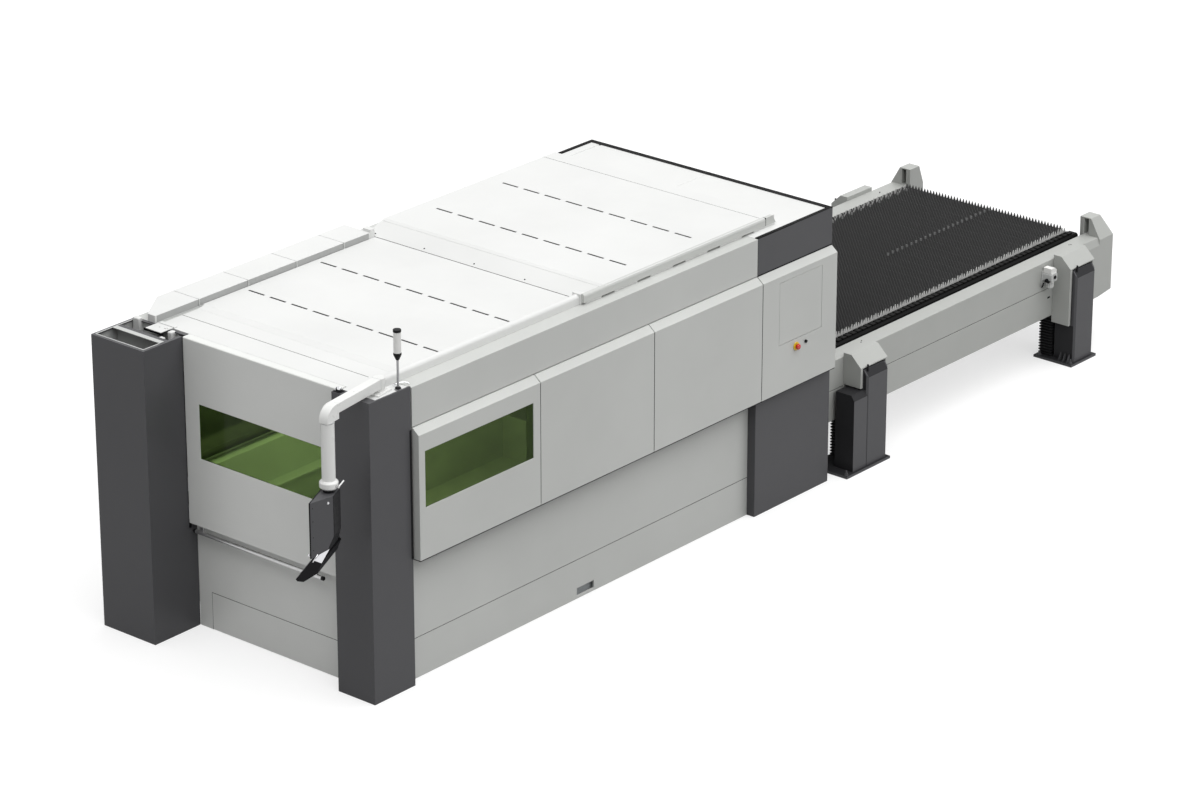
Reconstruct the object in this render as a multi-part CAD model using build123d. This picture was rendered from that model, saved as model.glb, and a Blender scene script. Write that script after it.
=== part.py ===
from build123d import *
import os

# Sheet-metal laser cutting machine with a two-level shuttle table.
# Millimetres. X runs from the operator's door to the shuttle table, Y across, Z up from the floor.
# Widths are measured from the middle plane, so a range across is given for one side and mirrored.

# Cabin walls
cabin_front = -4140
cabin_rear = 695
wall_top = 2188
panel_bottom = 938
panel_top = 1897
lower_wall_face = 1090
upper_wall_face = 1160
side_panel_face = 1214
sheet = 12
skirt_top = 301
skirt_seam = 3
panel_joints = (-3872, -2635, -1412, -185, 695)
panel_gap = 3
upper_wall_gap = 6
glass_thick = 9
glass_gap = 1
panel_top_chamfer = (54, 45)
window_across = (-3809, -2710)
window_height = (1314, 1724)
fork_pocket = ((-2113, -1927), (22, 82))

# Rear corner of the cabin and the tunnel that the pallet passes through
rear_dark_front = -186
tunnel_half_width = 892
tunnel_top = 1010

# Pillars beside the door
right_pillar_x = (-4286, -3883)
right_pillar_y = (-1160, -821)
right_pillar_top = 2200
left_pillar_x = (-4584, -4159)
left_pillar_y = (643, 1150)
left_pillar_top = 2192
shaft_divider = (-4352, -4340)
pillar_lip = 16
pillar_lip_thick = 8
pillar_step_x = -4212
pillar_rim = 14
guide_slot_x = (-4216, -4186)
guide_slot_z = (760, 2170)

# Lift door
door_face = -4218
door_depth = 70
door_y = (-818, 640)
door_z = (804, 2192)
door_window_y = (-682, 504)
door_window_z = (1323, 1730)
handle_x = -4205
handle_z = 754
handle_y = (-622, 596)
handle_radius = 14
handle_bracket = (14, 40)
carriage_heights = (830, 1040)
carriage_height = 100

# Roof
roof_flange_inner = 940
rail_across = (960, 1020)
rail_height = 70
rail_start = -3970
box_outer = 1214
box_height = 57
box_nose = (1032, -3890)
box_joints = (-3736, -3250, -2764, -2278)
joint_groove = 5
roof_split = -2070
rear_cover_x = (-2067, 139)
rear_cover_z = (2200, 2265)
rear_cover_half = 1052
slot_size = (18, 152)
slot_pitch = 206
slot_count = 9
front_slot_rows = (-3306, -2579)
rear_slot_rows = (-1354, -630)

# Machine bed and gantry
bed_x = (-3878, 640)
bed_across = (900, 1055)
bed_top = 1000
member_z = (20, 110)
scrap_tray_x = (-3830, -730)
scrap_tray_half = 835
scrap_tray_z = (110, 470)
track_top = 700
track_thick = 15
track_across = (800, 900)
gantry_rear_x = -300
gantry_depth = 260
gantry_z = (1125, 1400)
head_tip_z = 955

# Console arm on the right pillar
arm_pivot = (-4060, -1043)
arm_turn = 8.2
arm_reach = 593
arm_z = (2222, 2290)
arm_width = 70
arm_boss_radius = 42
elbow = (507, 640)
elbow_bend = 100
elbow_bottom = 2180
drop_tube_radius = 46
collar_radius = 64
collar_z = (1710, 1772)
console_turn = -73.2
console_x = (-55, 50)
console_half = 230
console_back_half = 69
console_z = (1294, 1690)
console_back_cut = (10, 1400)
console_tray_side = ((-58, 1280), (-177, 1122), (-165, 1108), (-122, 1109), (-21, 1184), (8, 1262))
console_tray_half = 205

# Signal lamp
lamp_place = (-3957, -1117)
lamp_stem_top = 2400
lamp_body_z = (2452, 2600)
lamp_top = 2618
lamp_radius = 28

# Controls on the rear side panel
hatch_x = (10, 515)
hatch_z = (1312, 1803)
hatch_gap = 2.5
estop_place = (213, 1254)
start_place = (326, 1259)

# Shuttle table
beam_x = (712, 4394)
beam_across = (885, 1030)
beam_z = (385, 870)
beam_seam = 633
lower_track_drop = 300
shuttle_track_inner = 795
end_housing_x = (4394, 4584)
end_housing_inner = 853
post_across = (1045, 1235)
post_top = 790
post_cap_chamfer = (36, 50)
post_edge_chamfer = 14
front_post_x = (1074, 1334)
rear_post_x = (3814, 4074)
base_across = (889, 1257)
base_thick = 20
rear_base_x = (3754, 4098)
front_base_x = (814, 1353)
anchor_inset = 26
anchor_across = (930, 1230)
anchor_radius = 9
drive_box_x = (914, 1074)
drive_box_top = 635
bracket_roof = ((1104, 902), (1197, 813))
bracket_bottom = 330
bellows_pleats = 10
bellows_fold = 16

# Pallet
slat_count = 50
slat_pitch = 62
slat_half_length = 782
slat_thick = 4
last_slat_x = 4240
slat_bottom = 850
slat_tip = 945
tooth_count = 9
tooth_depth = 24
pallet_x = (1096, 4350)
pallet_half_width = 868
pallet_rail_z = (805, 885)
wheel_radius = 49.5
wheel_across = (800, 850)
wheel_places = (1500, 3900)


def block(x, y, z):
    size = Box(x[1] - x[0], y[1] - y[0], z[1] - z[0])
    return Pos(sum(x) / 2, sum(y) / 2, sum(z) / 2) * size


def prism_x(points, x):
    face = Plane.YZ.offset(x[0]) * Polygon(*points, align=None)
    return extrude(face, x[1] - x[0], dir=(1, 0, 0))


def prism_y(points, y):
    face = Plane.XZ.offset(-y[0]) * Polygon(*points, align=None)
    return extrude(face, y[1] - y[0], dir=(0, 1, 0))


def prism_z(points, z):
    face = Plane.XY.offset(z[0]) * Polygon(*points, align=None)
    return extrude(face, z[1] - z[0], dir=(0, 0, 1))


def post_round(x, y, z, radius):
    return Pos(x, y, sum(z) / 2) * Cylinder(radius, z[1] - z[0])


def rod_y(x, y, z, radius):
    return Pos(x, sum(y) / 2, z) * Rot(90, 0, 0) * Cylinder(radius, y[1] - y[0])


def inset(opening):
    return (opening[0] + glass_gap, opening[1] - glass_gap)


def on_line(start, end, share):
    return (start[0] + share * (end[0] - start[0]), start[1] + share * (end[1] - start[1]))


def on_right(part):
    return mirror(part, about=Plane.XZ)


def both_sides(part):
    return [part, on_right(part)]


# Bed, rails and walls of the cabin

def bed_frame():
    beam = block(bed_x, bed_across, (0, bed_top))
    hollow = (bed_across[0] + sheet, bed_across[1] - sheet)
    beam -= block((bed_x[0] - 1, bed_x[1] + 1), hollow, (sheet, bed_top - sheet))
    track = block(bed_x, track_across, (track_top - track_thick, track_top))
    members = []
    for place in (-3780, -2730, -1680, -630, 420):
        members.append(block((place - 60, place + 60), (-bed_across[0], bed_across[0]), member_z))
    return both_sides(beam) + both_sides(track) + members


def scrap_tray():
    x, half, (low, high) = scrap_tray_x, scrap_tray_half, scrap_tray_z
    hollow = block((x[0] + sheet, x[1] - sheet), (sheet - half, half - sheet), (low + sheet, high + 1))
    return [block(x, (-half, half), (low, high)) - hollow]


def gantry_rails():
    half, waist, height = 22.5, 15, 40
    middle = 982.5
    side = [(half, 0), (half, 12), (waist, 20), (half, 29), (half, height)]
    points = [(middle + y, bed_top + z) for y, z in side]
    points += [(middle - y, bed_top + z) for y, z in reversed(side)]
    return both_sides(prism_x(points, (bed_x[0] + 8, -170)))


def lower_side_walls():
    across = (lower_wall_face - 15, lower_wall_face)
    tall = (skirt_top + skirt_seam, panel_bottom)
    left = block((left_pillar_x[1], rear_dark_front), across, tall)
    right = block((right_pillar_x[1], rear_dark_front), across, tall)
    return [left, on_right(right)]


def skirts():
    across = (lower_wall_face - 15, lower_wall_face)
    pocket = block(fork_pocket[0], (across[0] - 1, across[1] + 1), fork_pocket[1])
    left = block((left_pillar_x[1], rear_dark_front), across, (0, skirt_top)) - pocket
    right = block((right_pillar_x[1], rear_dark_front), across, (0, skirt_top)) - pocket
    return [left, on_right(right)]


def folded_edge(top, flange_inner, thick, x):
    face = upper_wall_face
    low = panel_top + upper_wall_gap
    points = [(face, low), (face, top), (flange_inner, top), (flange_inner, top - thick)]
    points += [(face - sheet, top - thick), (face - sheet, low)]
    return prism_x(points, x)


def upper_side_walls():
    left = folded_edge(wall_top, roof_flange_inner, sheet, (left_pillar_x[1], rear_dark_front))
    right = folded_edge(wall_top, roof_flange_inner, sheet, (panel_joints[0], rear_dark_front))
    return [left, on_right(right)]


def side_panel(joints):
    x = (joints[0] + panel_gap, joints[1] - panel_gap)
    face = side_panel_face
    fold_y = face - panel_top_chamfer[0]
    fold_z = panel_top - panel_top_chamfer[1]
    back = lower_wall_face
    low, high = panel_bottom, panel_top
    outer = [(back, low), (face, low), (face, fold_z), (fold_y, high), (back, high)]
    inner = [(back - 1, low + sheet), (face - sheet, low + sheet), (face - sheet, fold_z - 5)]
    inner += [(fold_y - 5, high - sheet), (back - 1, high - sheet)]
    return prism_x(outer, x) - prism_x(inner, (x[0] + sheet, x[1] - sheet))


def side_panel_front():
    opening = block(window_across, (side_panel_face - sheet - 1, side_panel_face + 1), window_height)
    return [on_right(side_panel(panel_joints[0:2]) - opening)]


def side_panels_middle():
    return [on_right(side_panel(panel_joints[i:i + 2])) for i in (1, 2)]


def side_panel_rear():
    face = side_panel_face
    rim = 10
    back_plate = block((hatch_x[0] - rim, hatch_x[1] + rim), (face - sheet - 8, face - sheet),
                       (hatch_z[0] - rim, hatch_z[1] + rim))
    panel = side_panel(panel_joints[3:5]) + back_plate
    panel -= block(hatch_x, (face - sheet, face + 1), hatch_z)
    for place, radius in ((estop_place, 12), (start_place, 13)):
        panel -= rod_y(place[0], (face - sheet - 1, face + 1), place[1], radius)
    return [on_right(panel)]


def side_panels_left():
    joints = (left_pillar_x[1],) + panel_joints[1:]
    return [side_panel(joints[i:i + 2]) for i in range(len(joints) - 1)]


def side_window():
    inner = side_panel_face - sheet
    across, tall = inset(window_across), inset(window_height)
    return [on_right(block(across, (inner, inner + glass_thick), tall))]


def rear_columns():
    front, rear = rear_dark_front, cabin_rear + 4
    face = upper_wall_face
    back = lower_wall_face - 15
    inside = face - sheet
    points = [(front, back), (front + sheet, back), (front + sheet, inside), (rear - sheet, inside)]
    points += [(rear - sheet, tunnel_half_width), (rear, tunnel_half_width), (rear, face), (front, face)]
    column = prism_z(points, (0, panel_bottom))
    jamb = block((rear - sheet, rear), (tunnel_half_width, lower_wall_face - 2), (panel_bottom, tunnel_top))
    return both_sides(column + jamb)


def rear_upper_panels():
    return both_sides(folded_edge(wall_top + 4, 1130, 8, (rear_dark_front + panel_gap, cabin_rear)))


def rear_lintel():
    half = lower_wall_face - 2
    plate = block((cabin_rear - sheet, cabin_rear), (-half, half), (tunnel_top, wall_top + 4))
    flange = block((cabin_rear - 40, cabin_rear - sheet), (-half, half), (wall_top - 4, wall_top + 4))
    return [plate + flange]


def rear_gate():
    gate = block((652, 674), (-880, 880), (1018, 1400))
    for height in (1090, 1190, 1290):
        gate -= block((651, 656), (-840, 840), (height - 12, height + 12))
    return [gate]


# Pillars and the front of the cabin

def pillar_left():
    x, y, top = left_pillar_x, left_pillar_y, left_pillar_top
    pillar = block(x, y, (0, top))
    inside = (y[0] + sheet, y[1] - sheet)
    deep = (sheet, top - pillar_lip_thick)
    front_shaft = (x[0] + sheet, shaft_divider[0])
    rear_shaft = (shaft_divider[1], x[1] - sheet)
    mouth = (inside[0] + pillar_lip, inside[1] - pillar_lip)
    for shaft in (front_shaft, rear_shaft):
        pillar -= block(shaft, inside, deep)
        pillar -= block((shaft[0] + pillar_lip, shaft[1] - pillar_lip), mouth, (deep[1] - 1, top + 1))
    pillar -= block(guide_slot_x, (y[0] - 1, mouth[0] + 1), (guide_slot_z[0], top + 1))
    return [pillar]


def pillar_right():
    x, y, top = right_pillar_x, right_pillar_y, right_pillar_top
    pillar = block(x, y, (0, top))
    pillar -= block((x[0] + sheet, x[1] - sheet), (y[0] + sheet, y[1] - sheet), (sheet, top - sheet))
    pillar -= block(guide_slot_x, (y[1] - sheet - 1, y[1] + 1), guide_slot_z)
    behind_step = (pillar_step_x, x[1] + 1)
    return [pillar - block(behind_step, (y[0] + pillar_rim, y[1] + 1), (wall_top - sheet, top + 1))]


def door_guide_rails():
    x, tall = (-4268, -4243), (300, 2170)
    left_wall = left_pillar_y[0] + sheet
    right_wall = right_pillar_y[1] - sheet
    return [block(x, (left_wall, left_wall + 20), tall), block(x, (right_wall - 20, right_wall), tall)]


def front_lower_panel():
    across = (right_pillar_y[1], left_pillar_y[0])
    panel = block((cabin_front, cabin_front + sheet), across, (0, 860))
    panel += block((cabin_front + sheet, cabin_front + 36), across, (860 - sheet, 860))
    return [panel - block((cabin_front - 1, cabin_front + sheet + 1), (-698, 520), (-1, 285))]


def front_lower_cover():
    return [block((cabin_front, cabin_front + sheet), (-696, 518), (2, 283))]


def front_roof_beam():
    right_edge = right_pillar_y[1] + 6
    behind = right_pillar_x[1] + 6
    rear = -3700
    inner = roof_flange_inner - 3
    points = [(cabin_front, right_edge), (behind, right_edge), (behind, -inner), (rear, -inner)]
    points += [(rear, inner), (cabin_front, inner)]
    beam = prism_z(points, (1980, wall_top))
    pillar_side = right_pillar_y[1] - 3
    far_edge = right_pillar_y[0] + pillar_rim + 2
    plate = [(pillar_step_x + 2, far_edge), (pillar_step_x + 2, pillar_side), (cabin_front, pillar_side)]
    plate += [(cabin_front, right_edge), (behind, right_edge), (behind, far_edge)]
    beam += prism_z(plate, (wall_top - sheet, wall_top))
    return [beam - block((-3922, -3918), (right_edge, inner + 1), (wall_top - 4, wall_top + 1))]


def vent_slots(rows, z):
    span = (slot_count - 1) * slot_pitch
    slot = Box(slot_size[0], slot_size[1], z[1] - z[0])
    slots = []
    for row in rows:
        for number in range(slot_count):
            slots.append(Pos(row, number * slot_pitch - span / 2, sum(z) / 2) * slot)
    return slots


def front_roof_cover():
    half = rail_across[0] - 5
    cover = block((-3705, roof_split), (-half, half), (wall_top, wall_top + sheet))
    return [cover - vent_slots(front_slot_rows, (wall_top - 1, wall_top + sheet + 1))]


def rear_roof_cover():
    wall = 10
    x, z, half = rear_cover_x, rear_cover_z, rear_cover_half
    cover = block(x, (-half, half), z)
    cover -= block((x[0] + wall, x[1] - wall), (wall - half, half - wall), (z[0] - 1, z[1] - wall))
    cover -= vent_slots(rear_slot_rows, (z[1] - wall - 1, z[1] + 1))
    tab_length, tab_pitch = 250, 390
    for number in range(6):
        start = x[0] + 20 + number * tab_pitch
        foot = (start, min(start + tab_length, x[1]))
        for across in ((half - wall, half), (-half, wall - half)):
            cover += block(foot, across, (wall_top, z[0]))
    return [cover]


def rear_roof_panel():
    half = 1128
    panel = block((rear_dark_front + panel_gap, cabin_rear - 42), (-half, half), (wall_top - sheet, wall_top))
    panel -= block((220, 660), (-2, 2), (wall_top - 4, wall_top + 1))
    panel -= block((240, 660), (1034, 1052), (wall_top - 6, wall_top + 1))
    return [panel]


def roof_rails():
    end = roof_split - 50
    inner, outer = rail_across
    radius = (outer - inner) / 2
    straight = wall_top + rail_height - radius
    rail = block((rail_start, end), rail_across, (wall_top, straight))
    tube = Rot(0, 90, 0) * Cylinder(radius, end - rail_start)
    rail += Pos((rail_start + end) / 2, inner + radius, straight) * tube
    high = wall_top + box_height
    front = left_pillar_x[1]
    nose_y, shoulder_x = box_nose
    plan = [(front, inner), (front, nose_y), (shoulder_x, box_outer), (end, box_outer), (end, inner)]
    box = prism_z(plan, (wall_top, high))
    for place in box_joints:
        x = (place - 2, place + 2)
        box -= block(x, (inner - 1, inner + joint_groove), (wall_top - 1, high + 1))
        box -= block(x, (inner, box_outer + 1), (high - joint_groove, high + 1))
    end_block = block((end, roof_split - 3), (inner - 3, outer + 12), (wall_top, rear_cover_z[1]))
    return [box + end_block, on_right(rail + end_block)]


# Signal lamp

def lamp_stem():
    flange = post_round(*lamp_place, (wall_top, wall_top + 8), 24)
    return [flange + post_round(*lamp_place, (wall_top + 8, lamp_stem_top), 8)]


def lamp_body():
    return [post_round(*lamp_place, lamp_body_z, lamp_radius - 2)]


def lamp_ends():
    profile = [(0, lamp_stem_top), (11, lamp_stem_top), (lamp_radius, lamp_body_z[0] - 14)]
    profile += [(lamp_radius, lamp_body_z[0]), (0, lamp_body_z[0])]
    socket = Pos(*lamp_place, 0) * revolve(Plane.XZ * Polygon(*profile, align=None), Axis.Z)
    return [socket, post_round(*lamp_place, (lamp_body_z[1], lamp_top), lamp_radius)]


# Lift door and counterweight

def door_panel():
    wall = sheet
    back = door_face + door_depth
    panel = block((door_face, back), door_y, door_z)
    panel -= block((door_face + wall, back + 1), (door_y[0] + wall, door_y[1] - wall),
                   (door_z[0] + wall, door_z[1] - wall))
    panel -= block((door_face - 1, back), door_window_y, door_window_z)
    panel = chamfer(panel.faces().sort_by(Axis.X)[0].outer_wire().edges(), 5)
    return [panel]


def door_window():
    inner = door_face + sheet
    return [block((inner - glass_thick, inner), inset(door_window_y), inset(door_window_z))]


def door_handle():
    bar = rod_y(handle_x, handle_y, handle_z, handle_radius)
    thick, wide = handle_bracket
    across = (handle_x - thick / 2, handle_x + thick / 2)
    for y in (handle_y[0] + 70, handle_y[1] - 70):
        bar += block(across, (y - wide / 2, y + wide / 2), (handle_z, door_z[0]))
    return [bar]


def door_carriages():
    carriages = []
    stem_x, shoe_x = (door_face + 6, door_face + 28), (-4270, -4190)
    sides = (((door_y[1], 676), (676, 700)), ((-854, door_y[0]), (-878, -854)))
    for low in carriage_heights:
        tall = (low, low + carriage_height)
        for stem_y, shoe_y in sides:
            carriages.append(block(stem_x, stem_y, tall) + block(shoe_x, shoe_y, tall))
    return carriages


def counterweight():
    weight = block((-4545, -4370), (690, 1105), (1150, 1750))
    return [chamfer(weight.edges().filter_by(Axis.Z), 12)]


# Console on its swinging arm

def on_arm(part):
    return Pos(*arm_pivot, 0) * Rot(0, 0, arm_turn) * part


def at_drop(part, turn):
    return on_arm(Pos(-arm_reach, 0, 0) * Rot(0, 0, turn) * part)


def arm_pivot_base():
    thick = 9
    plate = block((-90, 70), (-55, 75), (wall_top, wall_top + thick))
    return [on_arm(plate + post_round(0, 0, (wall_top + thick, arm_z[0] - 1), arm_boss_radius - 4))]


def console_arm():
    low, high = arm_z
    inner, end = elbow
    points = [(0, low), (0, high), (-end, high), (-end, elbow_bottom), (-inner, elbow_bottom), (-inner, low)]
    side = Polygon(*points, align=None)
    outer_corner = side.vertices().group_by(Axis.X)[0].sort_by(Axis.Y)[-1]
    profile = Plane.XZ.offset(arm_width / 2) * fillet(outer_corner, elbow_bend)
    arm = extrude(profile, arm_width, dir=(0, 1, 0))
    boss = post_round(0, 0, arm_z, arm_boss_radius)
    tube = post_round(-arm_reach, 0, (collar_z[1], elbow_bottom), drop_tube_radius)
    return [on_arm(arm + boss + tube)]


def swivel_collar():
    r, (low, high) = collar_radius, collar_z
    soft = 14
    profile = [(0, low), (r - soft, low), (r, low + soft), (r, high - soft), (r - soft, high), (0, high)]
    return [at_drop(revolve(Plane.XZ * Polygon(*profile, align=None), Axis.Z), 0)]


def clamp_lever():
    z = sum(collar_z) / 2
    pin = rod_y(0, (-collar_radius - 26, -collar_radius - 0.5), z, 7)
    handle = Pos(0, -collar_radius - 21, z) * Rot(0, 60, 0) * Pos(0, 0, 30) * Cylinder(6, 60)
    return [at_drop(pin + handle, -arm_turn)]


def console_housing():
    front, back = console_x
    low, high = console_z
    wide, narrow = console_half, console_back_half
    body = prism_z([(front, -wide), (back, -narrow), (back, narrow), (front, wide)], console_z)
    cut_x, cut_z = console_back_cut
    body -= prism_y([(cut_x, low - 1), (back + 1, low - 1), (back + 1, cut_z)], (-wide, wide))
    neck = post_round(0, 0, (high, collar_z[0] - 0.5), 36)
    return [at_drop(body + neck, console_turn)]


def console_screen():
    border, thick = 12, 6
    across = (border - console_half, console_half - border)
    tall = (console_z[0] + border, console_z[1] - border)
    return [at_drop(block((console_x[0] - thick, console_x[0]), across, tall), console_turn)]


def console_tray():
    side, half = console_tray_side, console_tray_half
    tray = prism_y(side, (-half, half))
    lower = [on_line(side[0], side[-1], share) for share in (0.27, 0.70)]
    spacer = lower + [(x, console_z[0]) for x, z in reversed(lower)]
    for y in (-110, 110):
        tray += prism_y(spacer, (y - 15, y + 15))
    return [at_drop(tray, console_turn)]


# Controls on the side

def control_hatch():
    gap = hatch_gap
    return [on_right(block((hatch_x[0] + gap, hatch_x[1] - gap), (side_panel_face - 10, side_panel_face),
                           (hatch_z[0] + gap, hatch_z[1] - gap)))]


def estop_ring():
    x, z = estop_place
    ring = rod_y(x, (side_panel_face, side_panel_face + 8), z, 32)
    return [on_right(ring - rod_y(x, (side_panel_face - 1, side_panel_face + 9), z, 12))]


def estop_button():
    x, z = estop_place
    face = side_panel_face
    profile = [(0, -20), (10, -20), (10, 16), (21, 18), (21, 28), (15, 34), (0, 34)]
    points = [(radius, face + out) for radius, out in profile]
    button = revolve(Plane.XY * Polygon(*points, align=None), Axis.Y)
    return [on_right(Pos(x, 0, z) * button)]


def start_button():
    x, z = start_place
    cap = rod_y(x, (side_panel_face - 20, side_panel_face + 12), z, 12)
    return [on_right(cap)]


# Gantry and cutting head

def gantry_beam():
    x = (gantry_rear_x - gantry_depth, gantry_rear_x)
    low, high = gantry_z
    lean = 60
    front, rear = x
    side = [(front, low), (rear - lean, low), (rear, low + lean), (rear, high - lean), (rear - lean, high)]
    side.append((front, high))
    return [prism_y(side, (-1040, 1040))]


def gantry_trucks():
    x = (gantry_rear_x - gantry_depth - 80, gantry_rear_x + 60)
    truck = block(x, (926, 1040), (bed_top + 52, gantry_z[0]))
    for y in (926, 1012):
        truck += block((x[0] + 40, x[1] - 40), (y, y + 28), (bed_top + 14, bed_top + 52))
    return both_sides(truck)


def cutting_carriage():
    rear = gantry_rear_x - gantry_depth - 3
    side = [(rear, 1090), (rear, 1420), (rear - 40, 1450), (rear - 120, 1450)]
    side += [(rear - 150, 1400), (rear - 150, 1140), (rear - 120, 1090)]
    return [prism_y(side, (-130, 130))]


def cutting_head():
    x = gantry_rear_x - gantry_depth - 210
    body = block((x - 50, x + 54), (-60, 60), (1130, 1420))
    nose_top = 1130 - head_tip_z
    profile = [(0, 0), (3, 0), (9, 18), (16, 24), (16, 50), (38, 80), (38, nose_top), (0, nose_top)]
    nose = revolve(Plane.XZ * Polygon(*profile, align=None), Axis.Z)
    return [chamfer(body.edges().filter_by(Axis.Z), 14) + Pos(x, 0, head_tip_z) * nose]


# Shuttle table: fixed posts, lifting beams and pallets

def lift_post(x):
    low, high = base_thick, post_top
    inner, outer = post_across
    cut_y, cut_z = post_cap_chamfer
    side = [(inner, low), (outer, low), (outer, high - cut_z), (outer - cut_y, high), (inner, high)]
    post = prism_x(side, x)
    return chamfer(post.edges().filter_by(Axis.Z).group_by(Axis.Y)[-1], post_edge_chamfer)


def base_plate(x):
    plate = block(x, base_across, (0, base_thick))
    for y in anchor_across:
        plate -= post_round(x[0] + anchor_inset, y, (-1, base_thick + 1), anchor_radius)
    return plate


def lift_posts():
    rear = lift_post(rear_post_x) + base_plate(rear_base_x)
    front = lift_post(front_post_x) + base_plate(front_base_x)
    top = drive_box_top
    side = [(1060, base_thick), (1235, base_thick), (1235, top - 40), (1205, top), (1060, top)]
    front += prism_x(side, drive_box_x)
    return both_sides(rear) + both_sides(front)


def lift_bellows():
    low, high = base_thick, beam_z[0] - 1
    across = (beam_across[0] + 7, beam_across[1] - 4)
    bellows = []
    for x in (front_post_x, rear_post_x):
        rings = []
        for number in range(2 * bellows_pleats + 1):
            inset = 0 if number % 2 else bellows_fold
            width, depth = x[1] - x[0] - 2 * inset, across[1] - across[0] - 2 * inset
            z = low + (high - low) * number / (2 * bellows_pleats)
            rings.append(Pos(sum(x) / 2 - 12, sum(across) / 2, z) * Rectangle(width, depth))
        bellows += both_sides(loft(rings, ruled=True))
    return bellows


def shuttle_beams():
    inner, outer = beam_across
    low, high = beam_z
    seam = [(outer, beam_seam - 3), (outer - 4, beam_seam), (outer, beam_seam + 3)]
    wall = 10
    beam = prism_x([(inner, low), (outer, low)] + seam + [(outer, high), (inner, high)], beam_x)
    hollow = (inner + wall, outer - wall)
    beam -= block((beam_x[0] - 1, beam_x[1] + 1), hollow, (low + wall, high - wall))
    tracks = []
    for drop in (0, lower_track_drop):
        z = (track_top - track_thick - drop, track_top - drop)
        tracks += both_sides(block(beam_x, (shuttle_track_inner, inner), z))
    return both_sides(beam) + tracks


def end_housings():
    x0, x1 = end_housing_x
    inner, peak, outer = end_housing_inner, 958, 1050
    bottom, shoulder, top = 362, 855, 1016
    lean = 62
    side = [(inner, bottom), (outer, bottom), (outer, shoulder), (peak, top), (inner, top)]
    housing = prism_x(side, end_housing_x)
    through = (inner - 1, outer + 1)
    housing -= prism_y([(x1 - lean, top + 1), (x1, shoulder), (x1 + 1, shoulder), (x1 + 1, top + 1)], through)
    housing -= block((x0 - 1, x0 + 110), (893, 936), (beam_z[1] + 4, top - 10))
    housing -= prism_y([(x1 + 1, bottom - 1), (x1 + 1, bottom + 22), (x0, bottom - 1)], through)
    face = beam_across[1]
    saddle = [(face, bottom), (outer, bottom), (outer, 808), (face, beam_z[1])]
    return both_sides(housing + prism_x(saddle, (4110, x0)))


def lift_bracket(post_x, skirt_bottom):
    wall = 26
    gap = 10
    face = beam_across[1]
    (ridge_y, ridge_z), (eave_y, eave_z) = bracket_roof
    x = (post_x[0] - gap - wall, post_x[1] + gap + wall)
    back = face + 9
    side = [(face, skirt_bottom), (eave_y, skirt_bottom), (eave_y, eave_z)]
    side += [(ridge_y, ridge_z), (face, ridge_z)]
    hood = prism_x(side, x)
    pocket = [(back, skirt_bottom - 1), (eave_y + 1, skirt_bottom - 1), (eave_y + 1, eave_z - 9)]
    pocket += [(eave_y - 10, eave_z - 7), (ridge_y - 4, ridge_z - 14), (back, ridge_z - 14)]
    hood -= prism_x(pocket, (post_x[0] - gap, post_x[1] + gap))
    if skirt_bottom > bracket_bottom:
        hood += block(x, (face, back), (bracket_bottom, skirt_bottom))
    return hood


def lift_brackets():
    rear = lift_bracket(rear_post_x, bracket_bottom)
    front = lift_bracket(front_post_x, drive_box_top + 12)
    return both_sides(rear) + both_sides(front)


def changer_ties():
    half = shuttle_track_inner
    front = block((730, 850), (-half, half), (beam_z[0], beam_z[0] + 35))
    rear = block((4420, 4540), (-end_housing_inner, end_housing_inner), (beam_z[0], beam_z[0] + 120))
    return [front, rear]


def air_unit():
    face = -beam_across[1]
    x, z = 3660, 735
    plate = block((x - 45, x + 60), (face - 6, face), (z - 70, z + 75))
    head = block((x - 34, x + 46), (face - 92, face - 6), (z - 8, z + 62))
    bowl = post_round(x + 6, face - 52, (z - 66, z - 8), 26)
    drain = post_round(x + 6, face - 52, (z - 84, z - 66), 7)
    return [plate + chamfer(head.edges().filter_by(Axis.Y), 10) + bowl + drain]


def pallet_frame(lower=0):
    low, high = pallet_rail_z[0] - lower, pallet_rail_z[1] - lower
    outer = pallet_half_width
    comb = slat_half_length + 3
    ledge, ledge_z, shelf = 720, slat_bottom - lower, 14
    side = [(outer, low), (outer, high - 14), (outer - 14, high), (comb, high), (comb, ledge_z)]
    side += [(ledge, ledge_z), (ledge, ledge_z - shelf), (comb, ledge_z - shelf), (comb, low)]
    bars = both_sides(prism_x(side, pallet_x))
    for x in ((pallet_x[0], pallet_x[0] + 60), (pallet_x[1] - 60, pallet_x[1])):
        bars.append(block(x, (-ledge, ledge), (low, ledge_z)))
    bars.append(block((pallet_x[0] + 60, pallet_x[1] - 60), (-30, 30), (low, ledge_z)))
    return bars


def slats(tip, bottom, teeth):
    half = slat_half_length
    pitch = 2 * half / teeth
    points = [(-half, bottom), (half, bottom), (half, tip - tooth_depth)]
    for number in range(teeth):
        points.append((half - (number + 0.5) * pitch, tip))
        points.append((half - (number + 1) * pitch, tip - tooth_depth))
    first = last_slat_x - (slat_count - 1) * slat_pitch
    slat = prism_x(points, (0, slat_thick))
    return [Pos(first + number * slat_pitch, 0, 0) * slat for number in range(slat_count)]


def pallet_slats():
    return slats(slat_tip, slat_bottom, tooth_count)


def wheelset(x, lower=0):
    z = track_top + 0.5 + wheel_radius - lower
    axle = rod_y(x, (-wheel_across[1], wheel_across[1]), z, 18)
    return axle + both_sides(rod_y(x, wheel_across, z, wheel_radius))


def wheelset_front():
    return [wheelset(wheel_places[0])]


def wheelset_rear():
    return [wheelset(wheel_places[1])]


def lower_pallet():
    drop = lower_track_drop
    wheels = [wheelset(x, drop) for x in wheel_places]
    plain_slats = slats(slat_tip - drop, slat_bottom - drop, 1)
    return pallet_frame(drop) + wheels + plain_slats


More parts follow.
